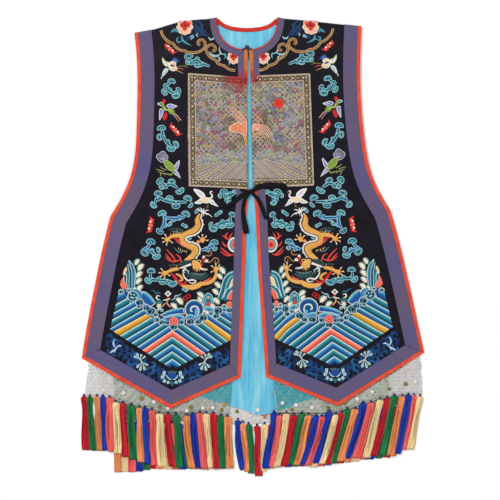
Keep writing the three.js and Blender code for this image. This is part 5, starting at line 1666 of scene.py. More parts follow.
ROCK_LINES = [
    ([(-123.8, -13.4), (-119.4, -19), (-117.6, -25), (-117.6, -32), (-118.4, -41)], 0.8),
    ([(-124, -14.4), (-122.4, -19.6), (-121, -25), (-120.8, -33), (-121, -42)], 0.6),
    ([(-125, -17), (-124.4, -22), (-123.4, -27), (-123.6, -34), (-123.6, -42)], 0.6),
    ([(-128.4, -24.4), (-127, -26.4), (-126, -31), (-126.4, -38)], 0.7),
    ([(-128.2, -27), (-129, -31), (-128.2, -36)], 0.6),
    ([(-18, -24.4), (-25.6, -27.6), (-29.8, -34), (-32, -43), (-34.6, -50.6)], 1.0),
    ([(-17, -27.6), (-22.8, -30.6), (-26.2, -37), (-28.6, -46), (-31.4, -52)], 0.7),
    ([(-17, -31), (-20.4, -33.6), (-22.4, -38)], 0.7),
    ([(-17, -38), (-22, -39.8), (-27, -44), (-29.4, -50.6)], 0.9),
    ([(-17, -41), (-21.4, -44), (-24.6, -48), (-26, -52.6)], 0.7),
]


# The small rock beside the spiral
SMALL_ROCK = [(-49.8, -58.6), (-50, -51.4), (-47, -47.4), (-44.6, -45.8), (-41.6, -47.6), (-39.8, -51),
              (-39, -57.6), (-44, -60)]
SMALL_ROCK_ARCH = [(-48, -58), (-47.6, -52.6), (-44.6, -49.4), (-41.8, -52), (-41, -57)]
SMALL_ROCK_HEART = [(-46.6, -59), (-46, -55.6), (-44.6, -54.4), (-43.2, -56), (-42.4, -59)]
# Round flowers before the rocks and in the crest: [x, y, radius]
ROCK_FLOWERS = [(-128.4, -39.2, 3.2), (-23.6, -57.6, 3.2)]
CREST_FLOWER = (-79.1, -74.4, 4.6)


def rocks(stitch):
    for points, wide, silk, tone in ROCKS:
        stitch.stroke(points, [0.35 * wide, wide, wide, 0.9 * wide], SILKS[silk][tone])
    for points, wide in ROCK_LINES:
        stitch.stroke(points, wide, SILKS["foam"][2], layer=1)
    stitch.fill(SMALL_ROCK, SILKS["teal"][1], rim=SILKS["blue"][2], rim_wide=0.8)
    stitch.stroke(SMALL_ROCK_ARCH, 0.7, SILKS["teal"][2], layer=1)
    stitch.disc(-44.6, -51, 1, SILKS["gold"][1], layer=1)
    stitch.fill(SMALL_ROCK_HEART, SILKS["coral"][0], layer=1)
    for x, y, turn, size in CURLS:
        curl(stitch, x, y, turn, size, -1 if x > WAVE_CENTRE - 3 else 1)
    for row in ROCK_FLOWERS:
        flower(stitch, *row)


def flower(stitch, x, y, radius):
    """A round flower with a curled heart."""
    stitch.disc(x, y, radius, SILKS["coral"][1], rim=SILKS["coral"][2], rim_wide=0.35, layer=2)
    for k in range(7):
        angle = math.radians(51 * k + 20)
        stitch.disc(x + 0.68 * radius * math.cos(angle), y + 0.68 * radius * math.sin(angle), 0.16 * radius,
                    SILKS["red"][1], layer=3)
    stitch.disc(x, y, 0.4 * radius, SILKS["coral"][0], rim=SILKS["coral"][2], rim_wide=0.35, layer=3)


FOAM_EDGE = (216, 222, 214)


def scroll(stitch, x, y, radius, silk):
    """A round head of the waves' crest, with a pale edge and a pale curl in it."""
    deep, main, pale = SILKS[silk]
    stitch.disc(x, y, radius, blend(deep, main, 0.5), rim=FOAM_EDGE, rim_wide=0.62, layer=1, tall=0.9)
    stitch.disc(x, y, 0.66 * radius, blend(deep, DARK, 0.45), layer=2, tall=0.8)
    way = 1 if silk == "teal" else -1
    inner = [(-0.62, 0.1), (-0.3, 0.42), (0.16, 0.34), (0.3, -0.02), (0, -0.2)]
    stitch.stroke([(x + way * radius * a, y + radius * b) for a, b in inner], [0.4, 0.9, 1.0, 0.9, 0.6],
                  blend(main, pale, 0.5), layer=3, smooth=2)
    stitch.disc(x + way * 0.1 * radius, y - 0.5 * radius, 0.17 * radius, blend(main, pale, 0.75), layer=3)


# [x, y, radius, silk]
SCROLLS = [
    (-131.5, -44.9, 3.0, "teal"), (-123.9, -43.3, 2.6, "blue"), (-113.9, -59.6, 2.6, "teal"),
    (-113.2, -55.6, 4.5, "teal"), (-106.3, -60.9, 4.1, "blue"), (-104.8, -67.0, 2.2, "teal"),
    (-97.1, -67.8, 3.0, "teal"), (-101.7, -64.4, 4.9, "teal"), (-96, -72.8, 3.4, "blue"),
    (-91, -75.4, 3.4, "teal"), (-85.9, -75.4, 3.4, "blue"), (-71.9, -75.2, 3.7, "blue"),
    (-79.1, -79.8, 4.3, "teal"), (-54.5, -74.8, 3.6, "teal"), (-62.5, -74.6, 4.4, "teal"),
    (-42.2, -66.6, 2.8, "blue"), (-49.7, -70.8, 4.6, "teal"), (-36.8, -69.1, 3.7, "teal"),
    (-34.7, -63.7, 4.8, "teal"), (-28.9, -59.5, 2.6, "blue"), (-23.6, -63.3, 3.6, "teal"),
]
# Swells of the crest, each an outline whose upper edge comes first: [upper edge, lower edge]
SWELLS = [
    ([(-110.5, -44.5), (-106.7, -45.2), (-102.5, -48.3), (-99, -52.5), (-97.1, -56.6)],
     [(-101.6, -60), (-106, -58.4), (-110, -55.4), (-112, -50.4)]),
    ([(-93, -68.2), (-88, -65.2), (-81, -62.6), (-75, -61.2), (-69.6, -61)],
     [(-68, -67.4), (-74, -67.2), (-82, -68.2), (-88, -70.4)]),
    ([(-91, -72), (-88.4, -70.4), (-82, -68.2), (-75, -67.2), (-70, -68.6), (-67.4, -73)],
     [(-71.4, -75), (-79, -76.6), (-87, -75.6)]),
    ([(-68, -70), (-66.4, -68.1), (-62.8, -67), (-58.4, -68.6), (-55.4, -72.6)],
     [(-58, -76), (-65, -76)]),
    ([(-49, -62), (-47.6, -60), (-44, -59.2), (-40.6, -61), (-38.6, -64.4)], [(-41, -68), (-46, -67.6)]),
    ([(-30, -60.6), (-26.6, -60), (-22.6, -64.4), (-20.4, -68.4)], [(-22, -70.6), (-27, -66)]),
]
# The tones of a swell, from its upper edge down: [share of its depth, silk colour]
SWELL_TONES = [(0.16, (138, 202, 196)), (0.4, (88, 172, 208)), (0.7, (30, 112, 184))]
# The deep water that shows between the heads
TROUGH = [(-133, -47), (-124, -47), (-115, -56), (-105, -63), (-98, -70), (-90, -74.6), (-80, -76.6),
          (-70, -74.8), (-60, -74), (-50, -69.6), (-40, -66.8), (-30, -63), (-20.6, -62)]
TROUGH_TINT = (10, 74, 140)
# The dome at the crest's outer end, as x, y and radius, and the dots in it
DOME = (-117.8, -49.9, 8.8)
DOME_DOTS = [(-121.6, -47.4), (-118.6, -48), (-119.8, -51.2), (-116.6, -50.6), (-121.4, -50.4)]


def swell(stitch, upper, lower):
    """A swell in bands of colour that follow its upper edge."""
    upper = curve(upper)
    stitch.fill(upper + lower, SILKS["navy"][1], rim=FOAM_EDGE, rim_wide=0.6, smooth=1)
    middle = centre_of(lower)
    for share, tint in SWELL_TONES:
        run = [blend(point, middle, share * 0.55) for point in upper]
        stitch.stroke(run, [0.4, 1.5, 1.5, 1.5, 0.4], tint, layer=1, smooth=1)


# The great spiral of the crest, as x, y and radius, and the lines in it from its centre
SPIRAL = (-58.6, -62.4, 9.8)
SPIRAL_ARC = [(-8, -2), (-7.6, 3), (-3.6, 7.2), (2, 7.8), (6.6, 4.6)]
SPIRAL_TONGUE = [(1, 1), (4.4, -0.4), (3.8, -4), (1.6, -8), (0.2, -4)]
SPIRAL_HOOK = [(-1.4, -2.4), (-3.4, -1.6), (-3.1, 1.2), (-0.4, 3), (3.2, 2), (4.6, -1.6), (4, -5), (2.4, -8)]
# Broken water in front of the treasure: [x, y, radius, colour] from its middle
BROKEN_PLACE = (-93.4, -61.6)
BROKEN_WATER = [(0, 0, 1.7, (160, 200, 206)), (2.6, -1.6, 1.6, (98, 164, 190)),
                (-2.2, -1.8, 1.5, (64, 128, 140)), (1.2, 2, 1.0, (220, 220, 208))]


def dome(stitch):
    x, y, radius = DOME
    stitch.disc(x, y, radius, (70, 150, 190), rim=FOAM_EDGE, rim_wide=1.0)
    light = [(x - 1, y + 0.74 * radius), (x + 0.55 * radius, y + 0.5 * radius),
             (x + 0.76 * radius, y - 0.1 * radius)]
    stitch.stroke(light, [0.5, 1.5, 0.6], (36, 112, 170), layer=1)
    stitch.disc(x - 2, y + 0.4, 0.6 * radius, SILKS["teal"][0], rim=FOAM_EDGE, rim_wide=0.5, layer=1)
    for dot_x, dot_y in DOME_DOTS:
        stitch.disc(dot_x, dot_y, 1.0, SILKS["teal"][2], layer=2)


def spiral(stitch):
    deep, main, _ = SILKS["blue"]
    x, y, radius = SPIRAL
    place = at(x, y)
    stitch.disc(x, y, radius, deep, rim=FOAM_EDGE, rim_wide=0.9)
    stitch.stroke(place(SPIRAL_ARC), [0.6, 1.5, 1.6, 1.5, 0.5], main, layer=1)
    stitch.fill(place(SPIRAL_TONGUE), (96, 172, 212), layer=1)
    stitch.stroke(place(SPIRAL_HOOK), [0.9, 1.7, 1.9, 1.7, 1.4, 1.1, 0.7], (222, 228, 220), layer=2)


def crest(stitch):
    """The standing waves over the slanting ones: swells, a spiral, round heads and foam."""
    stitch.stroke(TROUGH, 7.5, TROUGH_TINT, smooth=3)
    for upper, lower in SWELLS:
        swell(stitch, upper, lower)
    dome(stitch)
    spiral(stitch)
    for row in SCROLLS:
        scroll(stitch, *row)
    place = at(*BROKEN_PLACE)
    for x, y, radius, tint in BROKEN_WATER:
        stitch.disc(*place([(x, y)])[0], radius, tint, rim=FOAM_EDGE, rim_wide=0.3, layer=1)
    flower(stitch, *CREST_FLOWER)


def emblem(stitch):
    """A ribboned treasure: a white lozenge on a handle."""
    white, red = SILKS["white"][1], SILKS["red"][1]
    stitch.fill([(-88.4, -46.8), (-84.8, -43.6), (-81.2, -46.8), (-84.8, -50)], white, smooth=1)
    stitch.disc(-84.8, -46.8, 1.2, DARK, layer=1)
    stitch.disc(-84.8, -50.8, 1, red)
    stitch.stroke([(-89.6, -53.4), (-85, -52.6), (-82.6, -51.6)], [0.8, 1.4, 0.8], white, layer=1)
    stitch.stroke([(-86.4, -55.6), (-84.6, -58), (-82.4, -60.6)], [0.8, 1.2, 0.7], SILKS["coral"][2], layer=1)
    stitch.stroke([(-87.4, -56.2), (-89, -58), (-90.6, -60)], [0.7, 1.1, 0.6], SILKS["coral"][2], layer=1)
    stitch.disc(-82.6, -52.8, 1.4, SILKS["teal"][0], layer=1)
    stitch.fill([(-96.6, -54.4), (-94.6, -52.6), (-91.6, -53.4), (-90, -55.6), (-92.6, -57.4),
                 (-95.6, -56.8)],
                (52, 96, 116), rim=SILKS["teal"][1], rim_wide=0.4)
    stitch.disc(-85.6, -54.6, 0.9, SILKS["gold"][1], layer=2)
    stitch.stroke([(-93, -53), (-96.2, -51.4), (-95.4, -48.8), (-92.6, -49.6)], [0.5, 1.6, 1.2, 0.4], white)
    for line in ([(-101.8, -43.4), (-98.6, -44.2), (-96.4, -46.4), (-93.4, -45.6), (-92.6, -47.8)],
                 [(-82, -53), (-79, -52.4), (-77.4, -49), (-74.6, -48.8), (-71.4, -46.6)]):
        stitch.stroke(line, [0.4, 1.3, 1.3, 0.5], SILKS["teal"][1] if line[0][0] < -90 else (160, 196, 206))


def lozenges(stitch, x, y, size):
    """The linked lozenges of good luck, in red."""
    red = SILKS["red"][1]
    for layer, (dx, dy) in enumerate(((-1.7, -1.1), (1.7, 1.1))):
        corners = [(dx - 3, dy), (dx, dy + 2.6), (dx + 3, dy), (dx, dy - 2.6), (dx - 3, dy)]
        ring = at(x, y, size=size)(corners)
        for start, end in zip(ring, ring[1:]):
            stitch.stroke([start, end], 1.0, red, layer=layer, smooth=1)


# ---- The slanting waves at the hem ----
WAVE_CENTRE = -80.6
# The slanting waves from the lowest up: [silk, height at the centre and slope, to the left and to the right]
WAVES = [
    ("blue", (-111.7, 0.66), (-111.7, 0.70)), ("teal", (-104.4, 0.66), (-104.4, 0.70)),
    ("blue", (-97.1, 0.67), (-97.1, 0.71)), ("teal", (-89.8, 0.68), (-89.8, 0.71)),
    ("coral", (-83.2, 0.67), (-83.2, 0.70)), ("blue", (-77, 0.66), (-77, 0.71)),
    ("teal", (-71.2, 0.61), (-69.2, 0.71)), ("blue", (-65.2, 0.585), (-60.8, 0.723)),
    ("teal", (-57.9, 0.59), (-52.1, 0.763)), ("gold", (-53, 0.541), (-47.9, 0.695)),
    ("blue", (-45.9, 0.578), (-43.2, 0.664)), ("teal", (-39.1, 0.563), (-37.2, 0.65)),
    ("blue", (-33.5, 0.554), (-30, 0.65)), ("teal", (-26.1, 0.556), (-23, 0.65)),
    ("blue", (-19, 0.5), (-16, 0.65)),
]
LOWEST_WAVE = (-119, 0.66)  # the line under the lowest wave
WAVE_FOOT = [(-143.7, -81.8), (-80.3, -122.6), (-23.8, -94), (-16, -90)]
WAVE_CREST = [(-136, -46), (-124, -52), (-114, -62), (-104, -71), (-96, -76), (-86, -80), (-75, -81),
              (-62, -78), (-50, -73), (-40, -70), (-30, -66), (-20, -60)]
WAVE_SIDE = [(-84, 62.6), (-46, 53.6)]  # how far left of the centre the waves reach at a height
# Across a wave, from its upper edge down: [share of its depth, lift, shade from deep at 0 to cream at 3]
WAVE_FORM = [(0.0, 0.03, 3), (0.04, 0.8, 3), (0.13, 1.0, 2.8), (0.2, 1.0, 2.1), (0.36, 1.05, 1.65),
             (0.56, 1.1, 1.1), (0.78, 1.0, 0.75), (0.91, 0.7, 0.15), (0.985, 0.03, 0.0)]
WAVE_STEPS = 16
WAVE_REACH = 65  # how far from the centre an arm is followed, in steps of a quarter
# From deep to cream
WAVE_TONES = {
    "coral": [(168, 50, 38), (240, 92, 76), (250, 152, 128), (252, 206, 186)],
    "gold": [(120, 76, 8), (216, 152, 34), (238, 186, 84), (246, 214, 150)],
    "teal": [(0, 34, 48), (8, 102, 122), (70, 162, 172), (218, 234, 220)],
    "blue": [(6, 32, 84), (14, 90, 158), (76, 160, 204), (208, 230, 232)],
}


def wave_tint(silk, tone):
    tones = WAVE_TONES[silk]
    i = min(int(tone), len(tones) - 2)
    return blend(tones[i], tones[i + 1], tone - i)


def arm_row(side, share, upper, lower):
    """A line of points along an arm, at a share of the way from its upper edge to its lower one."""
    inside = []
    for step in range(4 * WAVE_REACH):
        far = step * 0.25
        x = WAVE_CENTRE + side * far
        y = (1 - share) * (upper[0] - upper[1] * far) + share * (lower[0] - lower[1] * far)
        if side < 0 and far > between(WAVE_SIDE, y):
            continue
        if between(WAVE_FOOT, x) < y < between(WAVE_CREST, x) + 3:
            inside.append((x, y))
    if not inside:
        return None
    (x0, y0), (x1, y1) = inside[0], inside[-1]
    steps = [t / WAVE_STEPS for t in range(WAVE_STEPS + 1)]
    return [(x0 + (x1 - x0) * t, y0 + (y1 - y0) * t) for t in steps]


def slanting_waves(stitch):
    below = (LOWEST_WAVE, LOWEST_WAVE)
    for silk, *arms in WAVES:
        for side, upper, lower in zip((-1, 1), arms, below):
            rows = [arm_row(side, share, upper, lower) for share, _, _ in WAVE_FORM]
            if all(rows):
                wave_arm(stitch, rows, side, silk)
        below = arms


def wave_arm(stitch, rows, side, silk):
    """One arm of a wave, from the rows of points across it."""
    vertices, tints, lays = [], [], []
    for row, (share, lift, tone) in zip(rows, WAVE_FORM):
        for x, y in row:
            vertices.append(stitch.spot(*stitch.turned([(x, y)])[0], lift * STITCH))
            tints.append(wave_tint(silk, tone))
            lays.append((abs(x - WAVE_CENTRE) + 2 * share) * GRID)
    across = WAVE_STEPS + 1
    rightwards = (side > 0) != stitch.mirrored
    faces = []
    for r in range(len(rows) - 1):
        for k in range(WAVE_STEPS):
            a = r * across + k
            quad = [a, a + across, a + across + 1, a + 1]
            faces.append(quad if rightwards else quad[::-1])
    stitch.add(vertices, faces, tints, lays)


# ---- The lotus scroll along the hem ----
# A lotus seen from the side, about its stem's middle: [root, tip, width]
LOTUS_PETALS = [
    ((-1.6, 2.6), (-4.6, 7.6), 3.2), ((-0.8, 2.6), (0.2, 7.0), 2.6), ((-1.8, 2.2), (-7.2, 4.8), 2.6),
    ((0.2, 1.6), (4.2, 5.0), 2.0), ((0.4, -1.2), (-4.6, -6.4), 2.8), ((0.8, -1.8), (-1.2, -9.6), 2.8),
    ((1.4, -2.0), (3.8, -8.8), 3.2), ((1.4, -1.2), (6.6, -4.2), 2.4),
]


def lotus(stitch, x, y, flip):
    """A pale lotus in the scroll."""
    place = at(x, y, 0, 1, flip)
    stitch.stroke(place([(-1.9, 3.1), (1.7, -2.4)]), 1.2, (206, 222, 226), layer=1)
    for root, tip, wide in LOTUS_PETALS:
        middle = (0.45 * root[0] + 0.55 * tip[0], 0.45 * root[1] + 0.55 * tip[1])
        stitch.stroke(place([root, middle, tip]), [0.6, 0.8, wide, 0.8 * wide], (188, 218, 224), layer=1)
        inner = (0.25 * root[0] + 0.75 * tip[0], 0.25 * root[1] + 0.75 * tip[1])
        stitch.disc(*place([inner])[0], 0.22 * wide, (98, 150, 168), layer=2)


LOTUS_BAND = [(-147, -84), (-80.5, -127), (-20, -97)]  # the band's upper line
LOTUSES = [(-111.6, -114.2, 1), (-47.8, -114, -1)]
LAST_LEAF = -24.5  # no leaf lies nearer to the opening
LEAF_TINTS = [(6, 46, 98), (10, 60, 122), (6, 36, 80), (16, 72, 132), (24, 88, 150)]
LEAF_COLUMNS = [-143 + k * 5.2 for k in range(25)]
LEAF_ROWS = (4.2, 10, 16)  # under the band's upper line
LEAFLESS = [(-112, 5), (-47.8, 5), (-80.6, 8)]  # about the lotuses: [x, half width]
# Tints of the band's own, from deep to pale
TENDRIL, LEAF_LIGHT = (14, 62, 104), (52, 118, 164)
LOTUS_TINT, LOTUS_RIM, LOTUS_EDGE = (150, 204, 214), (210, 232, 236), (178, 214, 224)
SIDE_LOTUS = [[(-137, -101), (-139.4, -97), (-138, -92)], [(-136.4, -100.4), (-133, -98.6), (-131, -99.4)],
              [(-137, -101.6), (-140.6, -104.6), (-142.8, -106)],
              [(-135, -100), (-137.8, -103), (-138, -106)]]
# The large lotus at the tip: its place, and from there its petals as [root, tip, width], its stamens as
# [root, tip], its heart and its base
TIP = (-80.6, -129.2)
TIP_PETALS = [((8.4, 0), (8.0, 5), 2.8), ((9.6, -2.6), (10, 0.6), 3.0), ((6.4, -5.6), (9, -4), 3.2),
              ((2.6, -5.8), (5.4, -6.6), 2.6)]
TIP_STAMENS = [((0.8, 2), (1.2, 5.4)), ((2.4, 2), (4, 4.8))]
TIP_HEART = [(-4.4, 0.6), (-2.6, 2.6), (0, 3), (2.6, 2.6), (4.4, 0.6), (2.8, -1.8), (0, -2.4), (-2.8, -1.8)]
TIP_BASE = [(-1.8, -5.4), (1.8, -5.4), (1.4, -8.4), (0, -10), (-1.4, -8.4)]


def tip_lotus(stitch):
    """The large lotus at the front's tip, its petals rolled to both sides."""
    for flip in (-1, 1):
        place = at(*TIP, flip=flip)
        for root, tip, wide in TIP_PETALS:
            stitch.stroke(place([root, tip]), wide, LOTUS_TINT, rim=LOTUS_RIM, layer=1)
        stitch.stroke(place([(5.4, 0), (6.4, -2.6), (4.8, -4.2)]), [0.4, 1, 0.5], SILKS["ink"][1], layer=2)
        for root, tip in TIP_STAMENS:
            stitch.stroke(place([root, tip]), [0.8, 1.5], (62, 106, 146), rim=(112, 154, 180))
    place = at(*TIP)
    stitch.fill(place(TIP_HEART), (10, 72, 156), layer=1)
    for flip in (-1, 1):
        edge = at(*TIP, flip=flip)([(5.6, 1.6), (5, -0.6), (2.8, -2.8), (0.6, -3.2)])
        stitch.stroke(edge, [0.5, 1.3, 1.3, 0.7], LOTUS_EDGE, layer=2)
    stitch.fill(place(TIP_BASE), (40, 104, 124), layer=1)


def scroll_leaf(stitch, draw, x, y):
    """A curled leaf with a tendril, turned by chance."""
    place = at(x, y, draw.uniform(0, 360), draw.uniform(0.95, 1.25), draw.choice((-1, 1)))
    blade = [(-3.2, -1.6), (-1, 1.8), (2, 1.6), (2.8, -0.8), (1, -1.8)]
    stitch.stroke(place(blade), [0.5, 3.2, 3.0, 1.6, 0.6], draw.choice(LEAF_TINTS), smooth=3)
    stitch.stroke(place([(-2.6, 2.6), (0.4, 3.8), (3.2, 2.2)]), [0.3, 1.1, 0.4], TENDRIL, smooth=2)
    if draw.random() < 0.35:
        vein = [(-1.8, 0.4), (0.4, 1.9), (2.2, 0.8)]
        stitch.stroke(place(vein), [0.2, 0.7, 0.2], LEAF_LIGHT, layer=1, smooth=2)


def lotus_band(stitch):
    draw = random.Random(11)
    for x, y, flip in LOTUSES:
        lotus(stitch, x, y, flip)
    for line in SIDE_LOTUS:
        stitch.stroke(line, [0.6, 1.8, 0.5], (190, 218, 236), layer=1)
    tip_lotus(stitch)
    for x in LEAF_COLUMNS:
        if x > LAST_LEAF or any(abs(x - middle) < half for middle, half in LEAFLESS):
            continue
        for row in LEAF_ROWS:
            leaf_x = x + draw.uniform(-0.8, 0.8)
            scroll_leaf(stitch, draw, leaf_x, between(LOTUS_BAND, x) - row - draw.uniform(-0.6, 0.6))


# [x, y, turn, size], and [x, y, size]
BATS = [(-83, 197.4, -45, 0.95), (-78, 116.4, -48, 1.0), (-102, 21.5, 78, 1.05)]
PEONIES = [(-68, 220, 1.0), (-19.4, 189, 0.78)]
LOZENGES = (-66, -50.4, 0.85)


def embroider(side, front):
    """All of a front's stitches, from the ground up."""
    stitch = Embroidery(Surface(front), mirrored=side == "right")
    for silk, body, heads in CLOUDS:
        cloud(stitch, silk, body, heads)
    for row in OVALS:
        oval(stitch, *row)
    for row in BATS:
        bat(stitch, *row)
    flying_crane(stitch)
    standing_crane(stitch)
    long_tailed_bird(stitch)
    fan_tailed_bird(stitch)
    for row in LEAVES:
        leaf(stitch, *row)
    for row in PEONIES:
        peony(stitch, *row)
    dragon(stitch)
    pearl(stitch)
    slanting_waves(stitch)
    rocks(stitch)
    crest(stitch)
    emblem(stitch)
    lozenges(stitch, *LOZENGES)
    lotus_band(stitch)
    return finish_piece(stitch.build(f"{side}_embroidery"), "silk", "satin")


# ---- The badge ----
# Corners of each half on the grid: outer top, inner top, outer bottom, inner bottom
BADGE_CORNERS = {
    "left": [(-64.8, 173.3), (-5.6, 168.9), (-63.6, 60.4), (-5.6, 57.8)],
    "right": [(57.0, 173.0), (-1.0, 170.6), (61.0, 61.2), (1.0, 59.0)],
}
BORDER = 7.6
FRET_PITCH = 5.3
PALE_LINE = (206, 186, 164)
LINE_PIECES = 24
FRET_DARK = (62, 52, 44)
FRET_GROUNDS = ((154, 134, 98), (134, 120, 86))
SEA_SILKS = [(198, 188, 162), (148, 134, 162), (202, 190, 166), (176, 166, 124), (206, 194, 172),
             (170, 138, 150)]
BADGE_SILKS = [(158, 160, 130), (134, 140, 104), (152, 148, 164), (170, 152, 164), (142, 138, 152),
               (174, 164, 142), (118, 128, 130), (152, 124, 138), (178, 142, 82), (108, 116, 152),
               (160, 166, 150), (156, 78, 106)]
# Where the ground's lattice shows between the clouds: [x, y, half width, half height]
LATTICE_SHOWS = [(-18, 105, 11, 8), (-25.5, 131, 5.5, 4.5), (10.5, 105.5, 9.5, 5.5), (12.5, 131.5, 3, 3)]
ROLLING_SILKS = [(168, 172, 146), (172, 154, 170), (182, 172, 146), (150, 158, 160), (160, 164, 136)]


def dyed(x, y, tint):
    """A thread's colour, reddened where dye has run."""
    shares = [clamped((reach + soft - math.hypot(x - sx, y - sy)) / soft) for sx, sy, reach, soft in STAINS]
    return blend(tint, DYE, 0.72 * max(shares))


class Badge:
    """Stitches on one half of the badge, in grid lengths from its outer and lower edges."""

    def __init__(self, side, cloth_piece):
        self.stitch = Embroidery(Surface(cloth_piece))
        self.corners = BADGE_CORNERS[side]
        outer_top, inner_top, outer_low, _ = self.corners
        self.wide = abs(inner_top[0] - outer_top[0])
        self.high = outer_top[1] - outer_low[1]

    def place(self, u, v):
        """A point of the badge as a place on the grid."""
        a, b = u / self.wide, v / self.high
        outer_top, inner_top, outer_low, inner_low = self.corners
        low = blend(outer_low, inner_low, a)
        return blend(low, blend(outer_top, inner_top, a), b)

    def line(self, points, wide, tint, layer=0, smooth=1):
        path = [self.place(u, v) for u, v in points]
        self.stitch.stroke(path, wide, dyed(*path[len(path) // 2], tint), layer=layer, smooth=smooth)

    def long_line(self, start, end, wide, tint):
        """A line in short pieces, each with the dye's colour at its place."""
        points = [blend(start, end, i / LINE_PIECES) for i in range(LINE_PIECES + 1)]
        for a, b in zip(points, points[1:]):
            self.line([a, b], wide, tint, layer=1)

    def border(self):
        """Pale lines and a row of frets along the three outer edges."""
        wide, high = self.wide, self.high
        for inset, thick in ((0.7, 1.4), (BORDER - 0.5, 1.0)):
            corners = [(wide, inset), (inset, inset), (inset, high - inset), (wide, high - inset)]
            for start, end in zip(corners, corners[1:]):
                self.long_line(start, end, thick, PALE_LINE)
        middle = BORDER / 2 + 0.3
        sides = [((middle, middle), (0, 1), high - 2 * middle), ((middle, middle), (1, 0), wide - middle),
                 ((middle, high - middle), (1, 0), wide - middle)]
        for (u0, v0), (du, dv), long in sides:
            count = round(long / FRET_PITCH)
            for k in range(count):
                far = long * (k + 0.5) / count
                self.fret(u0 + du * far, v0 + dv * far, du, dv, k % 2)
        self.fret(middle, middle, 1, 0, 0)
        self.fret(middle, high - middle, 1, 0, 0)

    def fret(self, u, v, du, dv, kind):
        """One block of the border's fret: a framed pale square or a dark key on olive."""
        def at_block(points):
            return [(u + du * a - dv * b, v + dv * a + du * b) for a, b in points]

        dark = FRET_DARK
        self.line(at_block([(-2.2, 0), (2.2, 0)]), 4.4, FRET_GROUNDS[kind])
        if kind == 0:
            ring = [(-1.5, -1.5), (1.5, -1.5), (1.5, 1.5), (-1.5, 1.5), (-1.5, -1.5)]
            for a, b in zip(ring, ring[1:]):
                self.line(at_block([a, b]), 0.6, dark, layer=1)
            self.line(at_block([(-0.8, 0), (0.8, 0)]), 1.7, (226, 216, 196), layer=1)
        else:
            for a in (-1.9, 1.9):
                self.line(at_block([(a, -1.6), (a, 1.6)]), 0.55, dark, layer=1)
            for b in (-1.5, 0, 1.5):
                self.line(at_block([(-1.3, b), (1.3, b)]), 0.55, dark if b else (206, 186, 140), layer=1)

    def sea_top(self, u):
        """The height of the sea's upper edge, which rises towards the opening."""
        return BORDER + 14.5 + 7 * u / self.wide + 1.1 * math.sin(0.45 * u)

    def sea(self):
        """Fine curved lines along the bottom, steeper near the opening, under two rows of rolling clouds."""
        low = BORDER + 0.8
        for number in range(56):
            start = -60 + 1.5 * number
            points = []
            for step in range(60):
                u = BORDER + 0.6 + step
                v = start + 0.36 * step + 0.008 * step * step
                if u <= self.wide - 0.4 and low < v < self.sea_top(u):
                    points.append((u, v))
            for a in range(0, len(points) - 1, 5):
                self.line(points[a:a + 6], 0.85, SEA_SILKS[number % len(SEA_SILKS)])
        for row, radius in ((0, 2.9), (1, 2.5)):
            for k in range(12):
                u = BORDER + 3 + (k + 0.5 * row) * 3.9
                if u < self.wide - 2.6:
                    tint = ROLLING_SILKS[(3 * k + row) % len(ROLLING_SILKS)]
                    self.rolling_cloud(u, self.sea_top(u) + 1.4 + 4.4 * row, radius, tint)

    def rolling_cloud(self, u, v, radius, tint):
        x, y = self.place(u, v)
        outer, inner = (dyed(x, y, shade(tint, share)) for share in (0.86, 0.72))
        self.stitch.disc(x, y, radius, outer, rim=shade(tint, 1.16), rim_wide=0.5, layer=1)
        y -= 0.15 * radius
        self.stitch.disc(x, y, 0.55 * radius, inner, rim=shade(tint, 1.1), rim_wide=0.4, layer=2)

    def clouds(self, draw):
        """Many small clouds and blossoms in faded silks, closely set."""
        for row in range(15):
            for column in range(10):
                u = BORDER + 2.5 + column * (self.wide - BORDER - 2) / 9.6 + draw.uniform(-1.4, 1.4)
                v = self.sea_top(u) + 10.5 + row * 4.9 + draw.uniform(-1.2, 1.2)
                if u > self.wide - 2.4 or v > self.high - BORDER - 2.4 or kept_clear(*self.place(u, v)):
                    continue
                tint = draw.choice(BADGE_SILKS)
                if draw.random() < 0.25:
                    self.blossom(u, v, tint)
                else:
                    self.small_cloud(u, v, draw.uniform(-40, 40), draw.uniform(0.95, 1.3), tint)

    def blossom(self, u, v, tint):
        """Five round petals about a darker heart."""
        for k in range(5):
            angle = math.radians(72 * k + 10 * u)
            x, y = self.place(u + 1.15 * math.cos(angle), v + 1.15 * math.sin(angle))
            self.stitch.disc(x, y, 0.8, dyed(x, y, tint), rim=dyed(x, y, shade(tint, 1.2)), rim_wide=0.25)
        x, y = self.place(u, v)
        self.stitch.disc(x, y, 0.55, dyed(x, y, shade(tint, 0.7)), layer=1)

    def small_cloud(self, u, v, turn, size, tint):
        place = at(u, v, turn, size)
        edge = shade(tint, 1.22)
        body = place([(-3.2, -0.4), (-1.6, 0.5), (0, -0.3), (1.6, 0.4), (3.2, -0.2)])
        self.line(body, [0.6, 1.7, 1.4, 1.7, 0.6], edge, smooth=2)
        self.line(body, [0.3, 0.9, 0.8, 0.9, 0.3], tint, layer=1, smooth=2)
        for px in (-1.8, 1.7):
            x, y = self.place(*place([(px, 1.3)])[0])
            self.stitch.disc(x, y, 1.15 * size, dyed(x, y, tint), rim=dyed(x, y, edge),
                             rim_wide=0.35, layer=1)
            self.stitch.disc(x, y, 0.4 * size, dyed(x, y, shade(tint, 0.74)), layer=2)

    def build(self, name):
        return finish_piece(self.stitch.build(name), "silk", "badge")


SUN = (25.5, 143.0, 4.8)
SUN_TINT, SUN_RIM = (222, 50, 42), (232, 84, 66)
BIRD_SILK = ((206, 104, 66), (236, 142, 104), (250, 214, 184))
BIRD_VEIN = (198, 140, 70)
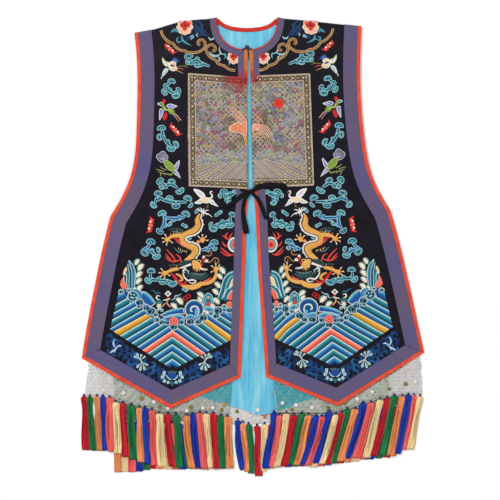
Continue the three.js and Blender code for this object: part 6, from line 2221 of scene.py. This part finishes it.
# The bird's wings, each a fan of feathers between two of them: [first feather, last feather, number]
BIRD_WINGS = {
    "left": ([(-6.4, 125), (-10, 131), (-16, 136), (-24.6, 139.8)],
             [(-11, 122), (-14, 125), (-17.6, 128), (-20.4, 131)], 5),
    "right": ([(-0.6, 121.4), (6, 122), (13.4, 119.6), (18.8, 111.6), (22, 103.8)],
              [(-0.6, 117.2), (3.4, 116.2), (6.4, 114), (8.4, 111.8), (9.6, 108.6)], 6),
}
# Its neck and head on the right half, and its tail: [points, width]
BIRD_PLUMES = {
    "left": [([(-8, 114), (-6.6, 111.6), (-5.8, 109.6)], 1.8)],
    "right": [([(4.6, 121), (6.2, 125), (6, 129), (8, 132.6)], 1.9),
              ([(6, 129.6), (8.6, 133), (11.4, 135.6)], 1.0), ([(4.4, 127), (3.6, 131), (5.2, 134.4)], 0.9)],
}
BIRD_BODIES = {
    "left": [(-24.4, 117.4), (-21.4, 121.4), (-16, 124), (-10.6, 123.6), (-6.4, 125), (-6.4, 112.6),
             (-9, 110.6), (-12.6, 113.4), (-17.4, 114), (-21.6, 114.4)],
    "right": [(-0.6, 122), (3.4, 122.4), (7, 120.4), (5.4, 117), (1.6, 115.4), (-0.6, 115.2)],
}
BIRD_LEGS = {
    "left": [[(-9.6, 111), (-8, 107), (-9.4, 103)], [(-7.4, 111), (-6.6, 105), (-7.4, 99)]],
    "right": [[(0, 114), (3.6, 112.6), (8, 114)], [(0.4, 112.4), (3, 109.6), (7, 109.4)]],
}


def kept_clear(x, y):
    """Whether a place belongs to the bird, the sun or the open lattice, which the small clouds leave free."""
    near_body = math.hypot((x + 4) / 25, (y - 119) / 13) < 1 and y < 128
    near_wing = abs((y - 124) + 0.85 * (x + 8)) < 5 and -26 < x < -6
    near_sun = math.hypot(x - SUN[0], y - SUN[1]) < SUN[2] + 2.6
    on_lattice = any(math.hypot((x - middle_x) / half_x, (y - middle_y) / half_y) < 1
                     for middle_x, middle_y, half_x, half_y in LATTICE_SHOWS)
    return near_body or near_wing or near_sun or on_lattice


def bird(stitch, side):
    """The half of the badge's bird that lies on a side."""
    deep, main, pale = BIRD_SILK
    body = BIRD_BODIES[side]
    stitch.fill(body, main, rim=pale, rim_wide=0.6, layer=1)
    first, last, number = BIRD_WINGS[side]
    for k in range(number):
        feather = [blend(a, b, k / (number - 1)) for a, b in zip(first, last)]
        stitch.stroke(feather, [1.0, 1.05, 0.95, 0.35], main, layer=1)
        stitch.stroke(feather, [0.3, 0.5, 0.5, 0.3], pale, layer=2)
    for points, wide in BIRD_PLUMES[side]:
        stitch.stroke(points, [wide, 0.8 * wide, 0.4], main, layer=1)
        stitch.stroke(points, [0.3, 0.4, 0.2], BIRD_VEIN, layer=2)
    for k, point in enumerate(body * 2):
        x, y = blend(point, centre_of(body), 0.24 if k < len(body) else 0.62)
        tint = pale if k % 3 == 0 else deep
        stitch.stroke([(x - 0.9, y + 0.3), (x, y - 0.3), (x + 1.0, y + 0.2)], 0.5, tint, layer=2, smooth=1)
    for line in BIRD_LEGS[side]:
        stitch.stroke(line, [1.2, 1.1, 0.5], SILKS["gold"][1], layer=1)


def build_badge(side, cloth_piece):
    badge = Badge(side, cloth_piece)
    badge.border()
    badge.sea()
    badge.clouds(random.Random(5 if side == "left" else 6))
    bird(badge.stitch, side)
    if side == "right":
        x, y, radius = SUN
        badge.stitch.disc(x, y, radius, SUN_TINT, rim=SUN_RIM, rim_wide=0.5, layer=1)
    return badge.build(f"{side}_badge_silks")


# ---- The couched cords of the collar ----
NECK_CENTRE = -14.3 * MM
GARMENT_SHIFT = (0.010 * MM, 1.332 * MM)
# From the neck's centre line, with x outwards, in millimetres
SCALLOPS = [
    [(206, 517), (202, 505), (193, 494), (183, 487), (177, 485), (170, 476), (159, 469), (150, 468),
     (142, 464), (130, 463), (120, 464), (112, 467), (103, 474), (100, 483), (102, 490), (108, 494),
     (115, 492), (117.5, 485), (112, 481.5)],
    [(28, 421), (38, 422), (47, 426), (53, 431), (62, 434), (70, 438), (75, 445), (84, 450), (91, 456),
     (96, 464), (98, 471), (94, 478.5), (86, 482.5), (79, 480), (75.5, 473.5), (78, 468), (84, 468.5)],
]
CORD_RADIUS = 1.3 * MM
CORD_APART = 3.7 * MM
# The ties' dark brown stands in for the shade in the valley between the cords: painted shade.
CORD_TINT, CORD_TIE_SHADE = (226, 176, 118), (96, 60, 30)
TRIM_TILT = {"left": 0.0, "right": 0.02}


def build_collar_cords(side, front):
    """Two twisted gold cords laid side by side and tied down with small stitches, whose dark brown is painted
    shade of the valley between the cords.
    """
    batch = Batch()
    surface = Surface(front)
    sign = -1 if side == "left" else 1
    for route in SCALLOPS:
        line = curve([(NECK_CENTRE + sign * x * MM + GARMENT_SHIFT[0],
                       (y + TRIM_TILT[side] * x) * MM + GARMENT_SHIFT[1]) for x, y in route], steps=7)
        sides = ([], [])
        for i, (x, y) in enumerate(line):
            along = heading(line, i)
            z = surface.height(x, y, surface.level) + CORD_RADIUS
            for points, aside in zip(sides, (-CORD_APART / 2, CORD_APART / 2)):
                points.append(Vector((x - along.y * aside, y + along.x * aside, z)))
        for points in sides:
            batch.tube(points, CORD_RADIUS, CORD_TINT, sides=8)
        for a, b in zip(sides[0][1::2], sides[1][1::2]):
            across = (b - a) * 0.55
            middle = (a + b) / 2 + Vector((0, 0, 1.25 * MM))
            drop = Vector((0, 0, 1.6 * MM))
            tie = [middle - across * 1.7 - drop, middle - across, middle, middle + across,
                   middle + across * 1.7 - drop]
            batch.tube(tie, 0.28 * MM, CORD_TIE_SHADE, sides=3)
    return finish_piece(batch.build(f"{side}_couched_cords"), "gold_cord", "trim", f"{side}_collar_trim")


# ---- The black ribbon tie ----
TIE_LEVEL = 7.0
# Each stretch of ribbon: [x, y, width, height over the level] in millimetres. The last three are free ends.
TIE_STRETCHES = [
    [(-4, 131, 6, 3.4), (2, 136, 8, 3.6), (10, 141, 10, 2.6), (28, 146, 11.5, 2.0), (52, 146.8, 11.5, 2.2),
     (72, 145, 11, 2.0), (79.5, 141, 9, 1.4)],
    [(-3, 129, 5, 3.0), (6, 134.5, 6, 2.6), (14, 138, 5, 1.6), (30, 140.4, 4, 0.9), (50, 141.6, 5, 0.8),
     (68, 141, 6, 0.8), (79, 139.4, 7, 0.8)],
    [(-9, 131, 5, 2.6), (-20, 133, 6, 1.6), (-31, 135, 5.4, 1.0)],
    [(-8, 130, 6, 3.4), (-14, 127.6, 9, 3.0), (-22, 124, 10.5, 2.2), (-38, 112, 11, 1.9), (-54, 100, 10, 1.7),
     (-70, 92, 8.5, 0.9)],
    [(-8, 127, 6, 3.2), (-14, 119, 7.5, 2.8), (-20.5, 108, 8, 2.0), (-23.8, 87, 9, 1.9), (-22, 66, 11.5, 2.0),
     (-18.8, 48, 14, 2.0), (-17, 37, 14.5, 1.9), (-16, 30, 12.5, 1.2)],
    [(-3, 128, 6, 3.2), (4, 121, 8.5, 2.8), (12, 112, 9.5, 2.2), (22, 92, 9.5, 1.9), (28, 74, 9, 1.8),
     (31, 65, 8.5, 1.1)],
]
FREE_ENDS = 3
# Across a ribbon: [share of its half width, rise in millimetres], folded once along its length
RIBBON_FORM = [(-1.0, 0.0), (-0.93, 0.55), (-0.55, 0.4), (-0.15, 0.95), (0.2, 0.45), (0.6, 0.75), (0.94, 0.6),
               (1.0, 0.0)]
RIBBON_SILK = (15, 13, 19)
KNOT_PLACE = (-5.5 * MM, 131.8 * MM, (TIE_LEVEL + 2.6) * MM)
# The two turns of ribbon that wrap the knot: [lean, height], and the angles along a turn
KNOT_TURNS = [(0.5, 2.6), (-0.35, 2.1)]
KNOT_REACH = 7.0 * MM
KNOT_ANGLES = [0.15 + k * 2.84 / 10 for k in range(11)]


def ribbon_line(stretch):
    """A smooth line of [x, y, width, z] in metres through a stretch."""
    return curve([(x * MM + GARMENT_SHIFT[0], y * MM + GARMENT_SHIFT[1], w * MM, (TIE_LEVEL + z) * MM)
                  for x, y, w, z in stretch], steps=5)


def ribbon(batch, line):
    """A ribbon with a top and an underside along a line."""
    width = len(RIBBON_FORM)
    vertices, tints, lays, faces = [], [], [], []
    for i, (x, y, wide, z) in enumerate(line):
        along = heading(line, i)
        wave = 0.35 * math.sin(i * 0.9)
        for layer in (0, 1):
            for k, (share, rise) in enumerate(RIBBON_FORM):
                aside = share * wide / 2
                lift = (rise + wave * (1 - abs(share))) * MM
                lift = lift if layer else 0.4 * lift - 0.5 * MM
                vertices.append(Vector((x + along.y * aside, y - along.x * aside, z + lift)))
                tints.append(shade(RIBBON_SILK, 1.0 + 0.05 * (k % 2)))
                lays.append(share * wide / 2)
    loop = 2 * width
    for i in range(len(line) - 1):
        a, b = i * loop, (i + 1) * loop
        for k in range(width - 1):
            faces.append([a + width + k, a + width + k + 1, b + width + k + 1, b + width + k])
            faces.append([a + k, b + k, b + k + 1, a + k + 1])
        faces.append([a, a + width, b + width, b])
        faces.append([a + width - 1, b + width - 1, b + loop - 1, a + loop - 1])
    end = (len(line) - 1) * loop
    for start in (0, end):
        faces.append([start + k for k in range(width)] + [start + loop - 1 - k for k in range(width)])
    batch.add(vertices, faces, tints, lays)


def build_free_end(number, stretch):
    """One free end of the tie, from the knot to its cut end."""
    batch = Batch()
    line = ribbon_line(stretch)
    ribbon(batch, line)
    piece = finish_piece(batch.build(f"tie_end_{number}"), "ribbon", "ribbon", "tie")


def build_tie():
    for number, stretch in enumerate(TIE_STRETCHES[-FREE_ENDS:], start=1):
        build_free_end(number, stretch)
    batch = Batch()
    for stretch in TIE_STRETCHES[:-FREE_ENDS]:
        ribbon(batch, ribbon_line(stretch))
    centre = Vector(KNOT_PLACE)
    batch.ball(centre, 6.4 * MM, RIBBON_SILK, flat=0.42, sides=14, rings=8)
    for lean, high in KNOT_TURNS:
        turns = []
        for angle in KNOT_ANGLES:
            across = KNOT_REACH * math.cos(angle)
            turns.append(centre + Vector((across, lean * across, high * MM * math.sin(angle))))
        batch.tube(turns, 2.3 * MM, shade(RIBBON_SILK, 1.03), sides=8, flat=0.5)
    finish_piece(batch.build("tie_ribbon"), "ribbon", "ribbon", "tie")


# ---- The knotted button at the neck ----
BUTTON = (-14.5 * MM, 477.3 * MM, 9.4 * MM)
BUTTON_RADIUS = 5.0 * MM
BUTTON_SILK = (66, 50, 92)
# Its loop to one side, in millimetres from the button, and on the grid its shank hanging between the
# plackets, dark brown as a painted shadow of the plackets
LOOP = [(3, -0.6, -1.4), (6, -2, -1.8), (9, -3.4, -1.8), (12, -4, -1.9)]
SHADOW_CORD = [(-5.4, 196.6, 7.6), (-4.6, 193, 6.9), (-4.1, 189, 6.9), (-3.8, 186, 6.9)]
SHADOW_CORD_TINT = (72, 34, 30)


def build_button():
    """A ball of cord woven over and under itself, and its loop."""
    batch = Batch()
    centre = Vector(BUTTON)
    # The core under the cords is laid in darker: painted shade in the gaps of the knot.
    batch.ball(centre, 0.8 * BUTTON_RADIUS, shade(BUTTON_SILK, 0.6), flat=0.7, sides=12, rings=6)
    for tilt in range(0, 180, 36):
        turn = math.radians(tilt)
        ring = []
        for k in range(21):
            t = 2 * math.pi * k / 20
            across = Vector((math.cos(turn), math.sin(turn), 0)) * math.cos(t)
            over = Vector((-0.35 * math.sin(turn), 0.35 * math.cos(turn), 0.72)) * math.sin(t)
            ring.append(centre + (across + over) * BUTTON_RADIUS * (0.9 + 0.05 * math.sin(4 * t)))
        batch.tube(ring, 0.85 * MM, shade(BUTTON_SILK, 1.0 + 0.12 * (tilt % 72 == 0)), sides=6)
    for sign in (-1, 1):
        for drop in (0.0, -2.2):
            loop = [centre + Vector((sign * x * MM, (drop + y) * MM, z * MM)) for x, y, z in LOOP]
            batch.tube(loop, 0.9 * MM, BUTTON_SILK, sides=6)
    # The shank is the loop's cord hanging down, laid in dark brown as painted shadow of the plackets.
    shadow_cord = [Vector((x * GRID, y * GRID, z * MM)) for x, y, z in SHADOW_CORD]
    batch.tube(shadow_cord, [1.2 * MM, 1.2 * MM, 1.1 * MM, 0.6 * MM], SHADOW_CORD_TINT, sides=6)
    finish_piece(batch.build("neck_button_knot"), "knot", "knot", "neck_button")


# ---- Making it all ----
build_camera()
build_stage()
made = build_cloth()
lining_top = Surface(made["back_lining"])
for side in ("left", "right", "back"):
    made[f"{side}_knotted_net"] = build_net(side, lining_top)
made.update(build_tassels())
for side in SIDES:
    made[f"{side}_embroidery"] = embroider(side, made[f"{side}_front"])
    made[f"{side}_badge_silks"] = build_badge(side, made[f"{side}_badge"])
    made[f"{side}_collar_cords"] = build_collar_cords(side, made[f"{side}_front"])
build_tie()
build_button()
